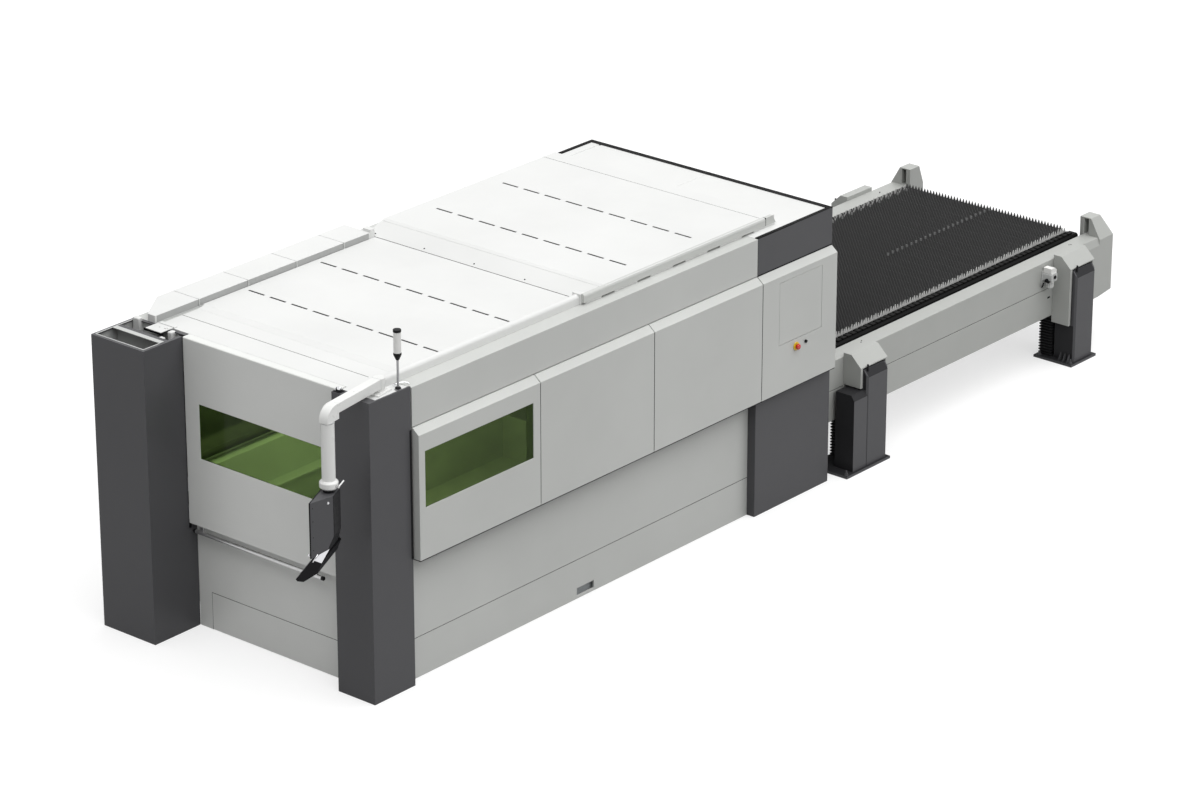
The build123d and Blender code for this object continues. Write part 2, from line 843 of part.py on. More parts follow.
nodes = (
    bed_frame, scrap_tray, gantry_rails, lower_side_walls, skirts, upper_side_walls,
    side_panel_front, side_panels_middle, side_panel_rear, side_panels_left, side_window,
    rear_columns, rear_upper_panels, rear_lintel, rear_gate,
    pillar_left, pillar_right, door_guide_rails, front_lower_panel, front_lower_cover,
    front_roof_beam, front_roof_cover, rear_roof_cover, rear_roof_panel, roof_rails,
    lamp_stem, lamp_body, lamp_ends,
    door_panel, door_window, door_handle, door_carriages, counterweight,
    arm_pivot_base, console_arm, swivel_collar, clamp_lever,
    console_housing, console_screen, console_tray,
    control_hatch, estop_ring, estop_button, start_button,
    gantry_beam, gantry_trucks, cutting_carriage, cutting_head,
    lift_posts, lift_bellows, shuttle_beams, end_housings, lift_brackets, changer_ties, air_unit,
    pallet_frame, pallet_slats, wheelset_front, wheelset_rear, lower_pallet,
)

solids = {}
for make in nodes:
    pieces = []
    for piece in make():
        pieces += piece.solids()
    solids[make.__name__] = pieces

# The origin is on the floor, in the middle of the whole footprint.
boxes = [solid.bounding_box() for pieces in solids.values() for solid in pieces]
middle_x = (min(box.min.X for box in boxes) + max(box.max.X for box in boxes)) / 2
middle_y = (min(box.min.Y for box in boxes) + max(box.max.Y for box in boxes)) / 2
lowest = min(box.min.Z for box in boxes)
to_origin = Pos(-middle_x, -middle_y, -lowest)
print("footprint middle", middle_x, middle_y, "lowest", lowest)

os.makedirs("parts", exist_ok=True)
for name, pieces in solids.items():
    export_step(Compound(children=[to_origin * piece for piece in pieces]), f"parts/{name}.step")
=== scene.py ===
import math

import bmesh
import bpy
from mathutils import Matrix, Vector


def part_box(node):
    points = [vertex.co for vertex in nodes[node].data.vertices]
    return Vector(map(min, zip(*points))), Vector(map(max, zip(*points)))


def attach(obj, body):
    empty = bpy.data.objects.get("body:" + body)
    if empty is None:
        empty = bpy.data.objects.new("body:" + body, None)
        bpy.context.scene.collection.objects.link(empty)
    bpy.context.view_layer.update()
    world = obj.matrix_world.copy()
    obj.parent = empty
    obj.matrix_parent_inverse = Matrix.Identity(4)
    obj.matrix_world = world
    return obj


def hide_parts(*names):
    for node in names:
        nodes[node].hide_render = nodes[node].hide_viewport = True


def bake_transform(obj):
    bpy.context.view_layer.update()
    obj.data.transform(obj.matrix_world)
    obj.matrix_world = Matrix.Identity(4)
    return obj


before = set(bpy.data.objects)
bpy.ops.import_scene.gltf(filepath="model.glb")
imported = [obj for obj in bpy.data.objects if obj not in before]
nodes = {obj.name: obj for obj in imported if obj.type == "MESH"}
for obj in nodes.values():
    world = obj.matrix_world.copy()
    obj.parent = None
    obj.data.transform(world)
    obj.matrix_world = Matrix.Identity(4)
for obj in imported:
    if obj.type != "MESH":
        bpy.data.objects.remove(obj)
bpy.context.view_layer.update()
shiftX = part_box("pillar_right")[0][0] + 4.286  # the drawing's zero against the middle of the footprint
print("frame loaded:", len(nodes), "nodes")


# lengths below are the drawing's millimetres

def at(x, y, z):
    return Vector((x / 1000 + shiftX, y / 1000, z / 1000))


# finishes

def setInputs(node, values):
    for name, value in values.items():
        node.inputs[name].default_value = value


def finishNodes(color, roughness, metallic=0.0):
    material = bpy.data.materials.new("finish")
    material.use_nodes = True
    shader = material.node_tree.nodes["Principled BSDF"]
    setInputs(shader, {"Base Color": (*color, 1), "Roughness": roughness, "Metallic": metallic})
    material.diffuse_color = (*color, 1)
    return material, material.node_tree, shader


def objectNoise(tree, scale, detail=2.0, stretch=(1, 1, 1)):
    place = tree.nodes.new("ShaderNodeTexCoord")
    mapping = tree.nodes.new("ShaderNodeMapping")
    mapping.inputs["Scale"].default_value = stretch
    noise = tree.nodes.new("ShaderNodeTexNoise")
    setInputs(noise, {"Scale": scale, "Detail": detail})
    tree.links.new(place.outputs["Object"], mapping.inputs["Vector"])
    tree.links.new(mapping.outputs["Vector"], noise.inputs["Vector"])
    return noise.outputs["Fac"]


def remap(tree, source, low, high, start=0.3, end=0.7):
    node = tree.nodes.new("ShaderNodeMapRange")
    setInputs(node, {"From Min": start, "From Max": end, "To Min": low, "To Max": high})
    tree.links.new(source, node.inputs["Value"])
    return node.outputs["Result"]


def mixColor(tree, factor, first, second):
    node = tree.nodes.new("ShaderNodeMix")
    node.data_type = "RGBA"
    for socket, value in ((node.inputs["A"], first), (node.inputs["B"], second)):
        if isinstance(value, bpy.types.NodeSocket):
            tree.links.new(value, socket)
        else:
            socket.default_value = (*value, 1)
    tree.links.new(factor, node.inputs["Factor"])
    return node.outputs["Result"]


def edgeMask(tree, radius):
    rounded = tree.nodes.new("ShaderNodeBevel")
    rounded.samples = 4
    rounded.inputs["Radius"].default_value = radius
    flat = tree.nodes.new("ShaderNodeNewGeometry")
    dot = tree.nodes.new("ShaderNodeVectorMath")
    dot.operation = "DOT_PRODUCT"
    tree.links.new(rounded.outputs["Normal"], dot.inputs[0])
    tree.links.new(flat.outputs["True Normal"], dot.inputs[1])
    return remap(tree, dot.outputs["Value"], 1, 0, 0.80, 0.985)


def shade(color, factor):
    return tuple(min(1.0, channel * factor) for channel in color)


def addBump(tree, shader, height, strength, depth):
    bump = tree.nodes.new("ShaderNodeBump")
    setInputs(bump, {"Strength": strength, "Distance": depth})
    tree.links.new(height, bump.inputs["Height"])
    tree.links.new(bump.outputs["Normal"], shader.inputs["Normal"])


paintLook = {"cloudScale": 1.3, "wearAndHighlightScale": 26, "glossScale": 9, "peelScale": 420, "peelDepth": 0.0006,
             "edgeRadius": 0.003, "bareAndHighlight": (0.75, 0.75, 0.74), "coatRoughness": 0.12}


def paint(color, roughness, patch=0.03, peel=0.04, wearAndHighlight=0.12, specular=0.5, coat=0.0):
    look = paintLook
    material, tree, shader = finishNodes(color, roughness)
    setInputs(shader, {"Specular IOR Level": specular, "Coat Weight": coat,
                       "Coat Roughness": look["coatRoughness"]})
    cloud = remap(tree, objectNoise(tree, look["cloudScale"], 3), 0, 1)
    base = mixColor(tree, cloud, shade(color, 1 - patch), shade(color, 1 + patch))
    # edges turn pale here: partly worn paint, partly a painted highlight along the edges
    wornAndHighlight = remap(tree, objectNoise(tree, look["wearAndHighlightScale"], 4), 0, wearAndHighlight, 0.45, 0.7)
    edge = tree.nodes.new("ShaderNodeMath")
    edge.operation = "MULTIPLY"
    tree.links.new(edgeMask(tree, look["edgeRadius"]), edge.inputs[0])
    tree.links.new(wornAndHighlight, edge.inputs[1])
    base = mixColor(tree, edge.outputs["Value"], base, look["bareAndHighlight"])
    tree.links.new(base, shader.inputs["Base Color"])
    rough = remap(tree, objectNoise(tree, look["glossScale"], 3), roughness - 0.05, roughness + 0.06)
    tree.links.new(rough, shader.inputs["Roughness"])
    addBump(tree, shader, objectNoise(tree, look["peelScale"], 1), peel, look["peelDepth"])
    return material


def metal(color, roughness, stretch=(1, 1, 1), scale=60, spread=0.12, metallic=1.0, bumpAmount=0.05):
    material, tree, shader = finishNodes(color, roughness, metallic)
    streak = objectNoise(tree, scale, 4, stretch)
    base = mixColor(tree, remap(tree, streak, 0, 1), shade(color, 0.88), shade(color, 1.08))
    tree.links.new(base, shader.inputs["Base Color"])
    rough = remap(tree, streak, max(0.04, roughness - spread / 2), roughness + spread)
    tree.links.new(rough, shader.inputs["Roughness"])
    addBump(tree, shader, streak, bumpAmount, 0.0005)
    return material


def plastic(color, roughness, grain=0.08, grainScale=900, specular=0.5):
    material, tree, shader = finishNodes(color, roughness)
    shader.inputs["Specular IOR Level"].default_value = specular
    cloud = remap(tree, objectNoise(tree, 7, 3), 0, 1)
    tree.links.new(mixColor(tree, cloud, shade(color, 0.95), shade(color, 1.05)), shader.inputs["Base Color"])
    rough = remap(tree, objectNoise(tree, 40, 2), roughness - 0.04, roughness + 0.05)
    tree.links.new(rough, shader.inputs["Roughness"])
    addBump(tree, shader, objectNoise(tree, grainScale, 1), grain, 0.0003)
    return material


def tintedGlass(color, roughness, bend=1.12):
    material, tree, shader = finishNodes(color, roughness)
    setInputs(shader, {"Transmission Weight": 1.0, "IOR": bend})
    cloud = remap(tree, objectNoise(tree, 2.2, 2), 0, 1)
    tree.links.new(mixColor(tree, cloud, shade(color, 0.94), shade(color, 1.06)), shader.inputs["Base Color"])
    return material


finishes = {
    "lightPaint": paint((0.535, 0.545, 0.527), 0.36),
    # the roof paint is lighter than the cabin paint so that up-facing roof parts read near white: painted
    # light from the strong overhead light
    "litRoofPaint": paint((0.70, 0.705, 0.695), 0.40),
    "whitePaint": paint((0.78, 0.785, 0.77), 0.32, wearAndHighlight=0.05),
    # the door paint is lighter than the cabin paint on the -X-facing door and front panels: partly a whiter
    # paint, partly painted light making up for light these faces lack
    "litDoorPaint": paint((0.73, 0.74, 0.72), 0.36),
    "tablePaint": paint((0.405, 0.414, 0.396), 0.42),
    "darkPaint": paint((0.083, 0.083, 0.088), 0.34, patch=0.02, peel=0.02, wearAndHighlight=0.03, specular=0.16),
    "linerPaint": paint((0.50, 0.51, 0.50), 0.45, wearAndHighlight=0.05),
    # the rail paint greys the left roof box's side plates: partly a grey profile, partly painted shade
    # keeping the side darker than the lit white top
    "greyAndShadedSidePaint": paint((0.36, 0.365, 0.36), 0.40, wearAndHighlight=0.05),
    "capPaint": paint((0.026, 0.026, 0.028), 0.42, patch=0.02, peel=0.02, wearAndHighlight=0.02, specular=0.10),
    "framePaint": paint((0.34, 0.36, 0.37), 0.5, patch=0.06),
    "blackPaint": paint((0.005, 0.005, 0.005), 0.5, patch=0.1, wearAndHighlight=0.03, specular=0.05),
    "steel": metal((0.52, 0.53, 0.54), 0.34, (1, 12, 12)),
    "litEndSteel": metal((0.58, 0.58, 0.57), 0.45, metallic=0.1, bumpAmount=0.05),
    "clipSteel": metal((0.36, 0.36, 0.36), 0.45, metallic=0.1, bumpAmount=0.05),
    "chrome": metal((0.80, 0.81, 0.82), 0.09, (1, 1, 1), 30, 0.05, bumpAmount=0.01),
    "trayPlate": metal((0.45, 0.46, 0.46), 0.5, scale=8, metallic=0.5),
    "slatSteel": metal((0.105, 0.105, 0.105), 0.6, scale=140, metallic=0.1, bumpAmount=0.15),
    "castIron": metal((0.09, 0.09, 0.092), 0.6, scale=220, metallic=0.6, bumpAmount=0.3),
    "aluminium": metal((0.66, 0.67, 0.67), 0.3, scale=160),
    "airCasting": plastic((0.52, 0.53, 0.52), 0.40, 0.08, 500),
    "rubber": plastic((0.010, 0.010, 0.011), 0.62, 0.2, 600, 0.2),
    # black rubber for the joints, also used for black strips that paint shade
    "gasketAndShadeRubber": plastic((0.016, 0.016, 0.017), 0.7, 0.2, 600, 0.05),
    "combPlastic": plastic((0.004, 0.004, 0.004), 0.5, 0.1, 400, 0.08),
    "blackPlastic": plastic((0.009, 0.009, 0.010), 0.4, 0.12, 900, 0.10),
    "handleSteel": metal((0.50, 0.50, 0.50), 0.30, (1, 0.2, 1), 60, 0.08),
    "linkSteel": metal((0.55, 0.55, 0.56), 0.22, scale=90),
    "stemSteel": metal((0.30, 0.30, 0.31), 0.35, scale=90),
    "greyPlastic": plastic((0.42, 0.43, 0.43), 0.42, 0.1),
    "whitePlastic": plastic((0.80, 0.80, 0.78), 0.35, 0.03),
    "redPlastic": plastic((0.55, 0.018, 0.012), 0.28, 0.02),
    "yellowPlastic": plastic((0.72, 0.48, 0.02), 0.38, 0.03),
    "screenFace": plastic((0.006, 0.007, 0.009), 0.10, 0.0),
    "greenGlass": tintedGlass((0.20, 0.30, 0.085), 0.02),
}
for finishName, material in finishes.items():
    material.name = finishName
print("finishes made:", len(finishes))


# solids that stay as they are drawn, each with its finish

nodeFinish = {
    "lightPaint": ("lower_side_walls", "skirts", "upper_side_walls", "side_panel_front", "side_panels_middle",
                   "side_panel_rear", "side_panels_left", "control_hatch", "rear_gate"),
    "litDoorPaint": ("door_panel", "front_lower_panel", "front_lower_cover"),
    "tablePaint": ("shuttle_beams", "lift_brackets", "end_housings"),
    "litRoofPaint": ("front_roof_beam", "front_roof_cover", "rear_roof_cover", "rear_roof_panel", "roof_rails"),
    "whitePaint": ("console_arm", "swivel_collar", "arm_pivot_base"),
    "darkPaint": ("pillar_left", "pillar_right", "rear_columns", "rear_upper_panels", "rear_lintel",
                  "lift_posts", "console_housing"),
    "framePaint": ("bed_frame", "changer_ties", "gantry_beam", "cutting_carriage"),
    "blackPaint": ("pallet_frame", "lower_pallet"),
    "steel": ("gantry_rails", "door_guide_rails", "door_carriages", "gantry_trucks", "wheelset_front",
              "wheelset_rear"),
    "trayPlate": ("scrap_tray",),
    "castIron": ("counterweight", "pallet_slats"),
    "handleSteel": ("door_handle", "clamp_lever"),
    "stemSteel": ("lamp_stem",),
    "aluminium": ("cutting_head",),
    "airCasting": ("air_unit",),
    "rubber": ("lift_bellows",),
    "blackPlastic": ("lamp_ends", "start_button", "console_tray"),
    "whitePlastic": ("lamp_body",),
    "redPlastic": ("estop_button",),
    "yellowPlastic": ("estop_ring",),
    "screenFace": ("console_screen",),
    "greenGlass": ("side_window", "door_window"),
}
softEdges = {"width": 0.0025, "segments": 2, "angle": 38}


def softenEdges(piece, width=None):
    weld = piece.modifiers.new("weld", "WELD")
    weld.merge_threshold = 0.00002
    flatten = piece.modifiers.new("flatten", "DECIMATE")
    flatten.decimate_type = "DISSOLVE"
    flatten.angle_limit = math.radians(0.5)
    bevel = piece.modifiers.new("softEdges", "BEVEL")
    bevel.width = width or softEdges["width"]
    bevel.segments = softEdges["segments"]
    bevel.limit_method = "ANGLE"
    bevel.angle_limit = math.radians(softEdges["angle"])
    bevel.use_clamp_overlap = True
    normals = piece.modifiers.new("normals", "WEIGHTED_NORMAL")
    normals.keep_sharp = True


for finishName, nodeNames in nodeFinish.items():
    for nodeName in nodeNames:
        node = nodes[nodeName]
        node.data.materials.clear()
        node.data.materials.append(finishes[finishName])
        softenEdges(node)
print("solids finished:", sum(len(names) for names in nodeFinish.values()))


# pieces made here, each riding the body it belongs to

def placeInScene(name, data):
    item = bpy.data.objects.new(name, data)
    bpy.context.scene.collection.objects.link(item)
    return item


def newPiece(name, mesh, finishName, body, smooth=False, soft=0.0):
    piece = placeInScene(name, mesh)
    mesh.materials.append(finishes[finishName])
    for face in mesh.polygons:
        face.use_smooth = smooth
    if soft:
        softenEdges(piece, soft)
    if body:
        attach(piece, body)
    return piece


def makePiece(name, build, finishName, body, smooth=False, soft=0.0):
    mesh = bpy.data.meshes.new(name)
    form = bmesh.new()
    build(form)
    bmesh.ops.recalc_face_normals(form, faces=form.faces)
    form.to_mesh(mesh)
    form.free()
    return newPiece(name, mesh, finishName, body, smooth, soft)


def both(near, far):
    return (-far, -near), (near, far)  # the same span on the right and on the left


def addPrism(form, outline, along, depth):
    lower = [form.verts.new(point) for point in outline]
    upper = [form.verts.new(Vector(point) + Vector(along) * depth) for point in outline]
    form.faces.new(lower)
    form.faces.new(list(reversed(upper)))
    for i in range(len(outline)):
        j = (i + 1) % len(outline)
        form.faces.new((lower[i], lower[j], upper[j], upper[i]))


def addProfile(form, outline, across, place=at):
    near, far = across
    addPrism(form, [place(x, near, z) for x, z in outline], (0, 1, 0), (far - near) / 1000)


def addLayers(form, layers):
    rings = [[form.verts.new(point) for point in layer] for layer in layers]
    for first, second in zip(rings, rings[1:]):
        for i in range(len(first)):
            j = (i + 1) % len(first)
            form.faces.new((first[i], first[j], second[j], second[i]))
    form.faces.new(rings[0])
    form.faces.new(list(reversed(rings[-1])))


def addBlock(form, x, y, z, place=at):
    plan = ((x[0], y[0]), (x[1], y[0]), (x[1], y[1]), (x[0], y[1]))
    addLayers(form, [[place(*corner, height) for corner in plan] for height in z])


def blocks(*spans):
    def build(form):
        for x, y, z in spans:
            addBlock(form, x, y, z)
    return build


def ringAround(middle, forward, right, radius, sides):
    up = forward.cross(right)
    turns = [2 * math.pi * number / sides for number in range(sides)]
    return [middle + (right * math.cos(turn) + up * math.sin(turn)) * radius / 1000 for turn in turns]


def addTurned(form, base, axis, profile, sides=20, place=at):
    start = place(*base)
    forward = (place(*(a + b for a, b in zip(base, axis))) - start).normalized()
    right = forward.orthogonal().normalized()
    layers = []
    for radius, along in profile:
        layers.append(ringAround(start + forward * along / 1000, forward, right, radius, sides))
    addLayers(form, layers)


def addPipe(form, route, radius, sides=10, place=at):
    points = [place(*point) for point in route]
    aside = Vector((0.31, 0.17, 0.93))  # in line with no pipe here
    layers = []
    for number, point in enumerate(points):
        before = points[max(number - 1, 0)]
        after = points[min(number + 1, len(points) - 1)]
        forward = (after - before).normalized()
        layers.append(ringAround(point, forward, forward.cross(aside).normalized(), radius, sides))
    addLayers(form, layers)


# cutting slats: a comb of pointed teeth, every other slat a little lower

slatRow = {
    "count": 50,
    "pitch": 62,
    "lastX": 4240,
    "halfLength": 782,
    "bottom": 850,
    "tip": 945,
    "lower": 6,
    "teeth": 52,
    "toothDepth": 30,
    "tipShare": 0.05,
    "valleyShare": 0.40,
    "thick": 3,
    "lastRise": 12,
}


def slatPlaces():
    return [slatRow["lastX"] - number * slatRow["pitch"] for number in range(slatRow["count"])]


def makeSlats():
    row = slatRow
    half = row["halfLength"]
    pitch = 2 * half / row["teeth"]

    def build(form):
        for number, x in enumerate(slatPlaces()):
            tip = row["tip"] - (0 if number % 2 else row["lower"])
            if number == 0:
                tip = row["tip"] + row["lastRise"]  # the last slat stands proud of the pallet's end
            foot = tip - row["toothDepth"]
            outline = [at(x, -half, row["bottom"]), at(x, half, row["bottom"])]
            for tooth in range(row["teeth"]):
                high = half - (tooth + 0.5) * pitch
                outline.append(at(x, high + pitch * 0.5, foot))
                outline.append(at(x, high + pitch * row["valleyShare"], foot))
                outline.append(at(x, high + pitch * row["tipShare"], tip))
                outline.append(at(x, high - pitch * row["tipShare"], tip))
                outline.append(at(x, high - pitch * row["valleyShare"], foot))
            outline.append(at(x, -half, foot))
            addPrism(form, outline, (1, 0, 0), row["thick"] / 1000)

    slats = makePiece("cuttingSlats", build, "slatSteel", "pallet")
    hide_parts("pallet_slats")


# light steel on the slat ends, a painted highlight for their bright tips; clips on the slats and the black
# combs that hold them

slatHolders = {
    "endWidth": 40,
    "endFoot": 885,
    "endTip": 943,
    "endAcross": (785.5, 789),
    "endLean": (-4, 5),
    "tipHalf": 3,
    "tipDrop": 4,
    "betweenDrop": 9,
    "clipLine": -65,
    "clipFrom": 2840,
    "farClipLine": 724,
    "clipSize": (16, 22),
    "clipDrop": 4,
    "clipThick": (3, 0.2),
    "combAcross": (794, 846),
    "combTop": 899,
    "combGap": 12,
}


def makeSlatHolders():
    row = slatHolders
    half = row["endWidth"] / 2
    foot, tip = row["endFoot"], row["endTip"]
    thick, step = slatRow["thick"], slatRow["pitch"] / 2

    def buildEnds(form):
        for number, x in enumerate(slatPlaces()):
            middle = x + thick / 2
            lean = middle + row["endLean"][number % 2]
            outline = ((middle - half, foot), (middle + half, foot), (lean + row["tipHalf"], tip),
                       (lean - row["tipHalf"], tip - row["tipDrop"]))
            shapes = [outline]
            shapes.append([(px + step, pz - row["betweenDrop"] if pz > foot else pz) for px, pz in outline])
            for y in both(*row["endAcross"]):
                for shape in shapes:
                    addProfile(form, shape, y)

    def buildClips(form):
        long, tall = row["clipSize"]
        top = slatRow["tip"] - row["clipDrop"]
        front, back = row["clipThick"]
        for number, x in enumerate(slatPlaces()):
            lines = [row["farClipLine"]] if number % 2 else []
            if x > row["clipFrom"]:
                lines.append(row["clipLine"])
            for y in lines:
                addBlock(form, (x - front, x - back), (y - long / 2, y + long / 2), (top - tall, top))

    def buildCombs(form):
        reach = step - row["combGap"] / 2
        for x in slatPlaces():
            middle = x + thick / 2 + step
            for y in both(*row["combAcross"]):
                addBlock(form, (middle - reach, middle + reach), y, (foot, row["combTop"]))

    # the light steel on the slat ends paints the highlight on their tips
    makePiece("litSlatEnds", buildEnds, "litEndSteel", "pallet")
    makePiece("slatClips", buildClips, "clipSteel", "pallet")
    makePiece("slatCombs", buildCombs, "combPlastic", "pallet", soft=0.003)


makeSlats()
makeSlatHolders()
print("slats made")


# bellows round the lifting screws

bellowsFolds = {
    "places": ((1192, 260), (3932, 260)),
    "across": (892, 1026),
    "height": (20, 384),
    "folds": 15,
    "foldDepth": 16,
    "ridge": 4,
    "corner": 12,
}


def makeBellows():
    row = bellowsFolds
    low, high = row["height"]
    pitch = (high - low) / row["folds"]
    middleY, reachY = sum(row["across"]) / 2, (row["across"][1] - row["across"][0]) / 2

    def ring(x, y, reachX, inset, z):
        far, wide = reachX - inset, reachY - inset
        cut = row["corner"]
        corners = ((far, wide - cut), (far - cut, wide), (cut - far, wide), (-far, wide - cut),
                   (-far, cut - wide), (cut - far, -wide), (far - cut, -wide), (far, cut - wide))
        return [at(x + dx, y + dy, z) for dx, dy in corners]

    def build(form):
        for x, length in row["places"]:
            for side in (-1, 1):
                layers = [ring(x, side * middleY, length / 2, row["foldDepth"], low)]
                for number in range(row["folds"]):
                    start = low + number * pitch
                    for height in (start + (pitch - row["ridge"]) / 2, start + (pitch + row["ridge"]) / 2):
                        layers.append(ring(x, side * middleY, length / 2, 0, height))
                    layers.append(ring(x, side * middleY, length / 2, row["foldDepth"], start + pitch))
                addLayers(form, layers)

    bellows = makePiece("liftBellows", build, "rubber", None)
    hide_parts("lift_bellows")
    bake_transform(bellows)


makeBellows()
print("bellows made")


# gaskets: dark rubber in the joints between panels, and a black strip under the side panels' lower edge,
# painted shade under the proud panels

gasketsAndUnderShade = {
    "sink": 1.0,
    "panelJoints": (-2635, -1412, -185),
    "panelHeight": (950, 1846),
    "panelFace": 1214,
    "gap": 3,
    "skirtSeam": (301, 304),
    "skirtAlong": (-3883, -186),
    "skirtFace": 1090,
    "coverFace": -4140,
    "coverAcross": (-698, 520),
    "coverTop": 285,
    "coverGap": 7,
    "coverFoot": 2,
    "underShadeHeight": (931, 937.6),
    "underShadeAlong": (-3866, 690),
    "underShadeLap": (2, 3),
    "panelDeep": 9,
    "skirtDeep": 12,
    "coverDeep": 10,
    "slack": 0.2,
}


def makeGasketsAndUnderShade():
    row = gasketsAndUnderShade
    slack, sink = row["slack"], row["sink"]

    def build(form):
        panel, skirt = row["panelFace"], row["skirtFace"]
        # black strip under the lower edge of the side panels: painted shade
        for y in both(skirt + row["underShadeLap"][0], panel - row["underShadeLap"][1]):
            addBlock(form, row["underShadeAlong"], y, row["underShadeHeight"])
        reach = row["gap"] - 0.3
        for x in row["panelJoints"]:
            for y in both(panel - row["panelDeep"], panel - sink):
                addBlock(form, (x - reach, x + reach), y, row["panelHeight"])
        low, high = row["skirtSeam"]
        for y in both(skirt - row["skirtDeep"], skirt - sink / 2):
            addBlock(form, row["skirtAlong"], y, (low + slack, high - slack))
        left, right = row["coverAcross"]
        x = (row["coverFace"] + sink / 2, row["coverFace"] + row["coverDeep"])
        gap, top = row["coverGap"], row["coverTop"]
        for y in ((left + slack, left + gap - slack), (right - gap + slack, right - slack)):
            addBlock(form, x, y, (row["coverFoot"], top - gap))
        addBlock(form, x, (left + slack, right - slack), (top - gap + slack, top - slack))

    makePiece("panelGasketsAndUnderShade", build, "gasketAndShadeRubber", "machine")


makeGasketsAndUnderShade()


# black strip beside the front side panel, painted shade where the panel stands proud of the pillar, and the
# strip between the left pillar and the front panel

panelShadeStrip = {"along": (-3899, -3884), "proud": 5, "pillarFace": 1160, "height": (946, 1888),
             "jamb": ((-4159.5, -4139.5), (643.6, 662), (0.5, 860))}


def makePanelShadeStrip():
    row = panelShadeStrip

    def build(form):
        y = (-row["pillarFace"] - row["proud"], -row["pillarFace"])
        # the black strip paints the shade on the pillar beside the proud panel
        addBlock(form, row["along"], y, row["height"])

    makePiece("panelShadeStrip", build, "gasketAndShadeRubber", "machine", soft=0.002)
    makePiece("pillarJamb", blocks(row["jamb"]), "darkPaint", "machine", soft=0.001)


makePanelShadeStrip()
print("gaskets made")


# roof: a black insert filling each vent slot, painted shade for the dark inside of the slot; dark joints,
# flashing in front of the cover

roofTrim = {
    "frontRows": (-3306, -2579),
    "frontUnder": (2188.5, 2198.4),
    "rearRows": (-1354, -630),
    "rearUnder": (2255.5, 2263.4),
    "slotHalf": (8.8, 75.8),
    "slotPitch": 206,
    "slotCount": 9,
    "boxJoints": (-3736, -3250, -2764, -2278),
    "boxInner": 960,
    "boxOuter": 1214,
    "boxTop": 2245,
    "boxJointHalf": (1.8, 0.9),
    "boxJointDeep": 5,
    "beamGroove": (-3922, -3918),
    "beamAcross": (-815, 937),
    "roofTop": 2188,
    "flashing": (-3768, -3705),
    "coverTop": 2200,
    "coverHalf": 937,
}


def makeRoofTrim():
    row = roofTrim

    def buildShadeInserts(form):
        reach, half = row["slotHalf"]
        span = (row["slotCount"] - 1) * row["slotPitch"]
        for rows, z in ((row["frontRows"], row["frontUnder"]), (row["rearRows"], row["rearUnder"])):
            for x in rows:
                for number in range(row["slotCount"]):
                    y = number * row["slotPitch"] - span / 2
                    addBlock(form, (x - reach, x + reach), (y - half, y + half), z)

    def buildJoints(form):
        inner, top, deep = row["boxInner"], row["boxTop"], row["boxJointDeep"]
        side, lid = row["boxJointHalf"]
        for x in row["boxJoints"]:
            addBlock(form, (x - side, x + side), (inner + 0.6, inner + deep), (row["roofTop"], top - 0.6))
            addBlock(form, (x - lid, x + lid), (inner + deep, row["boxOuter"]), (top - deep, top - 2.4))
        z = (row["roofTop"] - 4, row["roofTop"] - 0.4)
        low, high = row["beamGroove"]
        addBlock(form, (low + 0.2, high - 0.2), row["beamAcross"], z)

    def buildFlashing(form):
        front, back = row["flashing"]
        half, low = row["coverHalf"], row["roofTop"]
        side = ((front, low), (back, low), (back, row["coverTop"]), (front, low + 0.5))
        addProfile(form, side, (-half, half))

    # the black inserts paint the shade inside the vent slots
    makePiece("ventShadeInserts", buildShadeInserts, "rubber", "machine")
    makePiece("roofJoints", buildJoints, "gasketAndShadeRubber", "machine")
    makePiece("coverFlashing", buildFlashing, "litRoofPaint", "machine")


makeRoofTrim()
print("roof trim made")


# roof step: the rear cover rises from a sloped front edge, and the front cover and rails reach to its foot

roofStep = {
    "foot": (-1949, 2200),
    "crest": (-1750, 2265),
    "plateTop": 2255,
    "plateHalf": 1041.5,
    "frontCoverEnd": -2070,
    "railEnd": -2125,
    "reach": 118,
    "shadeLineHalf": 1036,
    "screwFirst": 982,
    "screwPitch": 477,
    "screwCount": 5,
    "screwAlong": -1922,
}


def reshapeNode(name, nodeName, finishName, change):
    mesh = nodes[nodeName].data.copy()
    mesh.name = name
    mesh.materials.clear()
    form = bmesh.new()
    form.from_mesh(mesh)
    bmesh.ops.remove_doubles(form, verts=form.verts, dist=0.00001)
    change(form)
    bmesh.ops.recalc_face_normals(form, faces=form.faces)
    form.to_mesh(mesh)
    form.free()
    piece = newPiece(name, mesh, finishName, "machine", soft=softEdges["width"])
    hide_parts(nodeName)


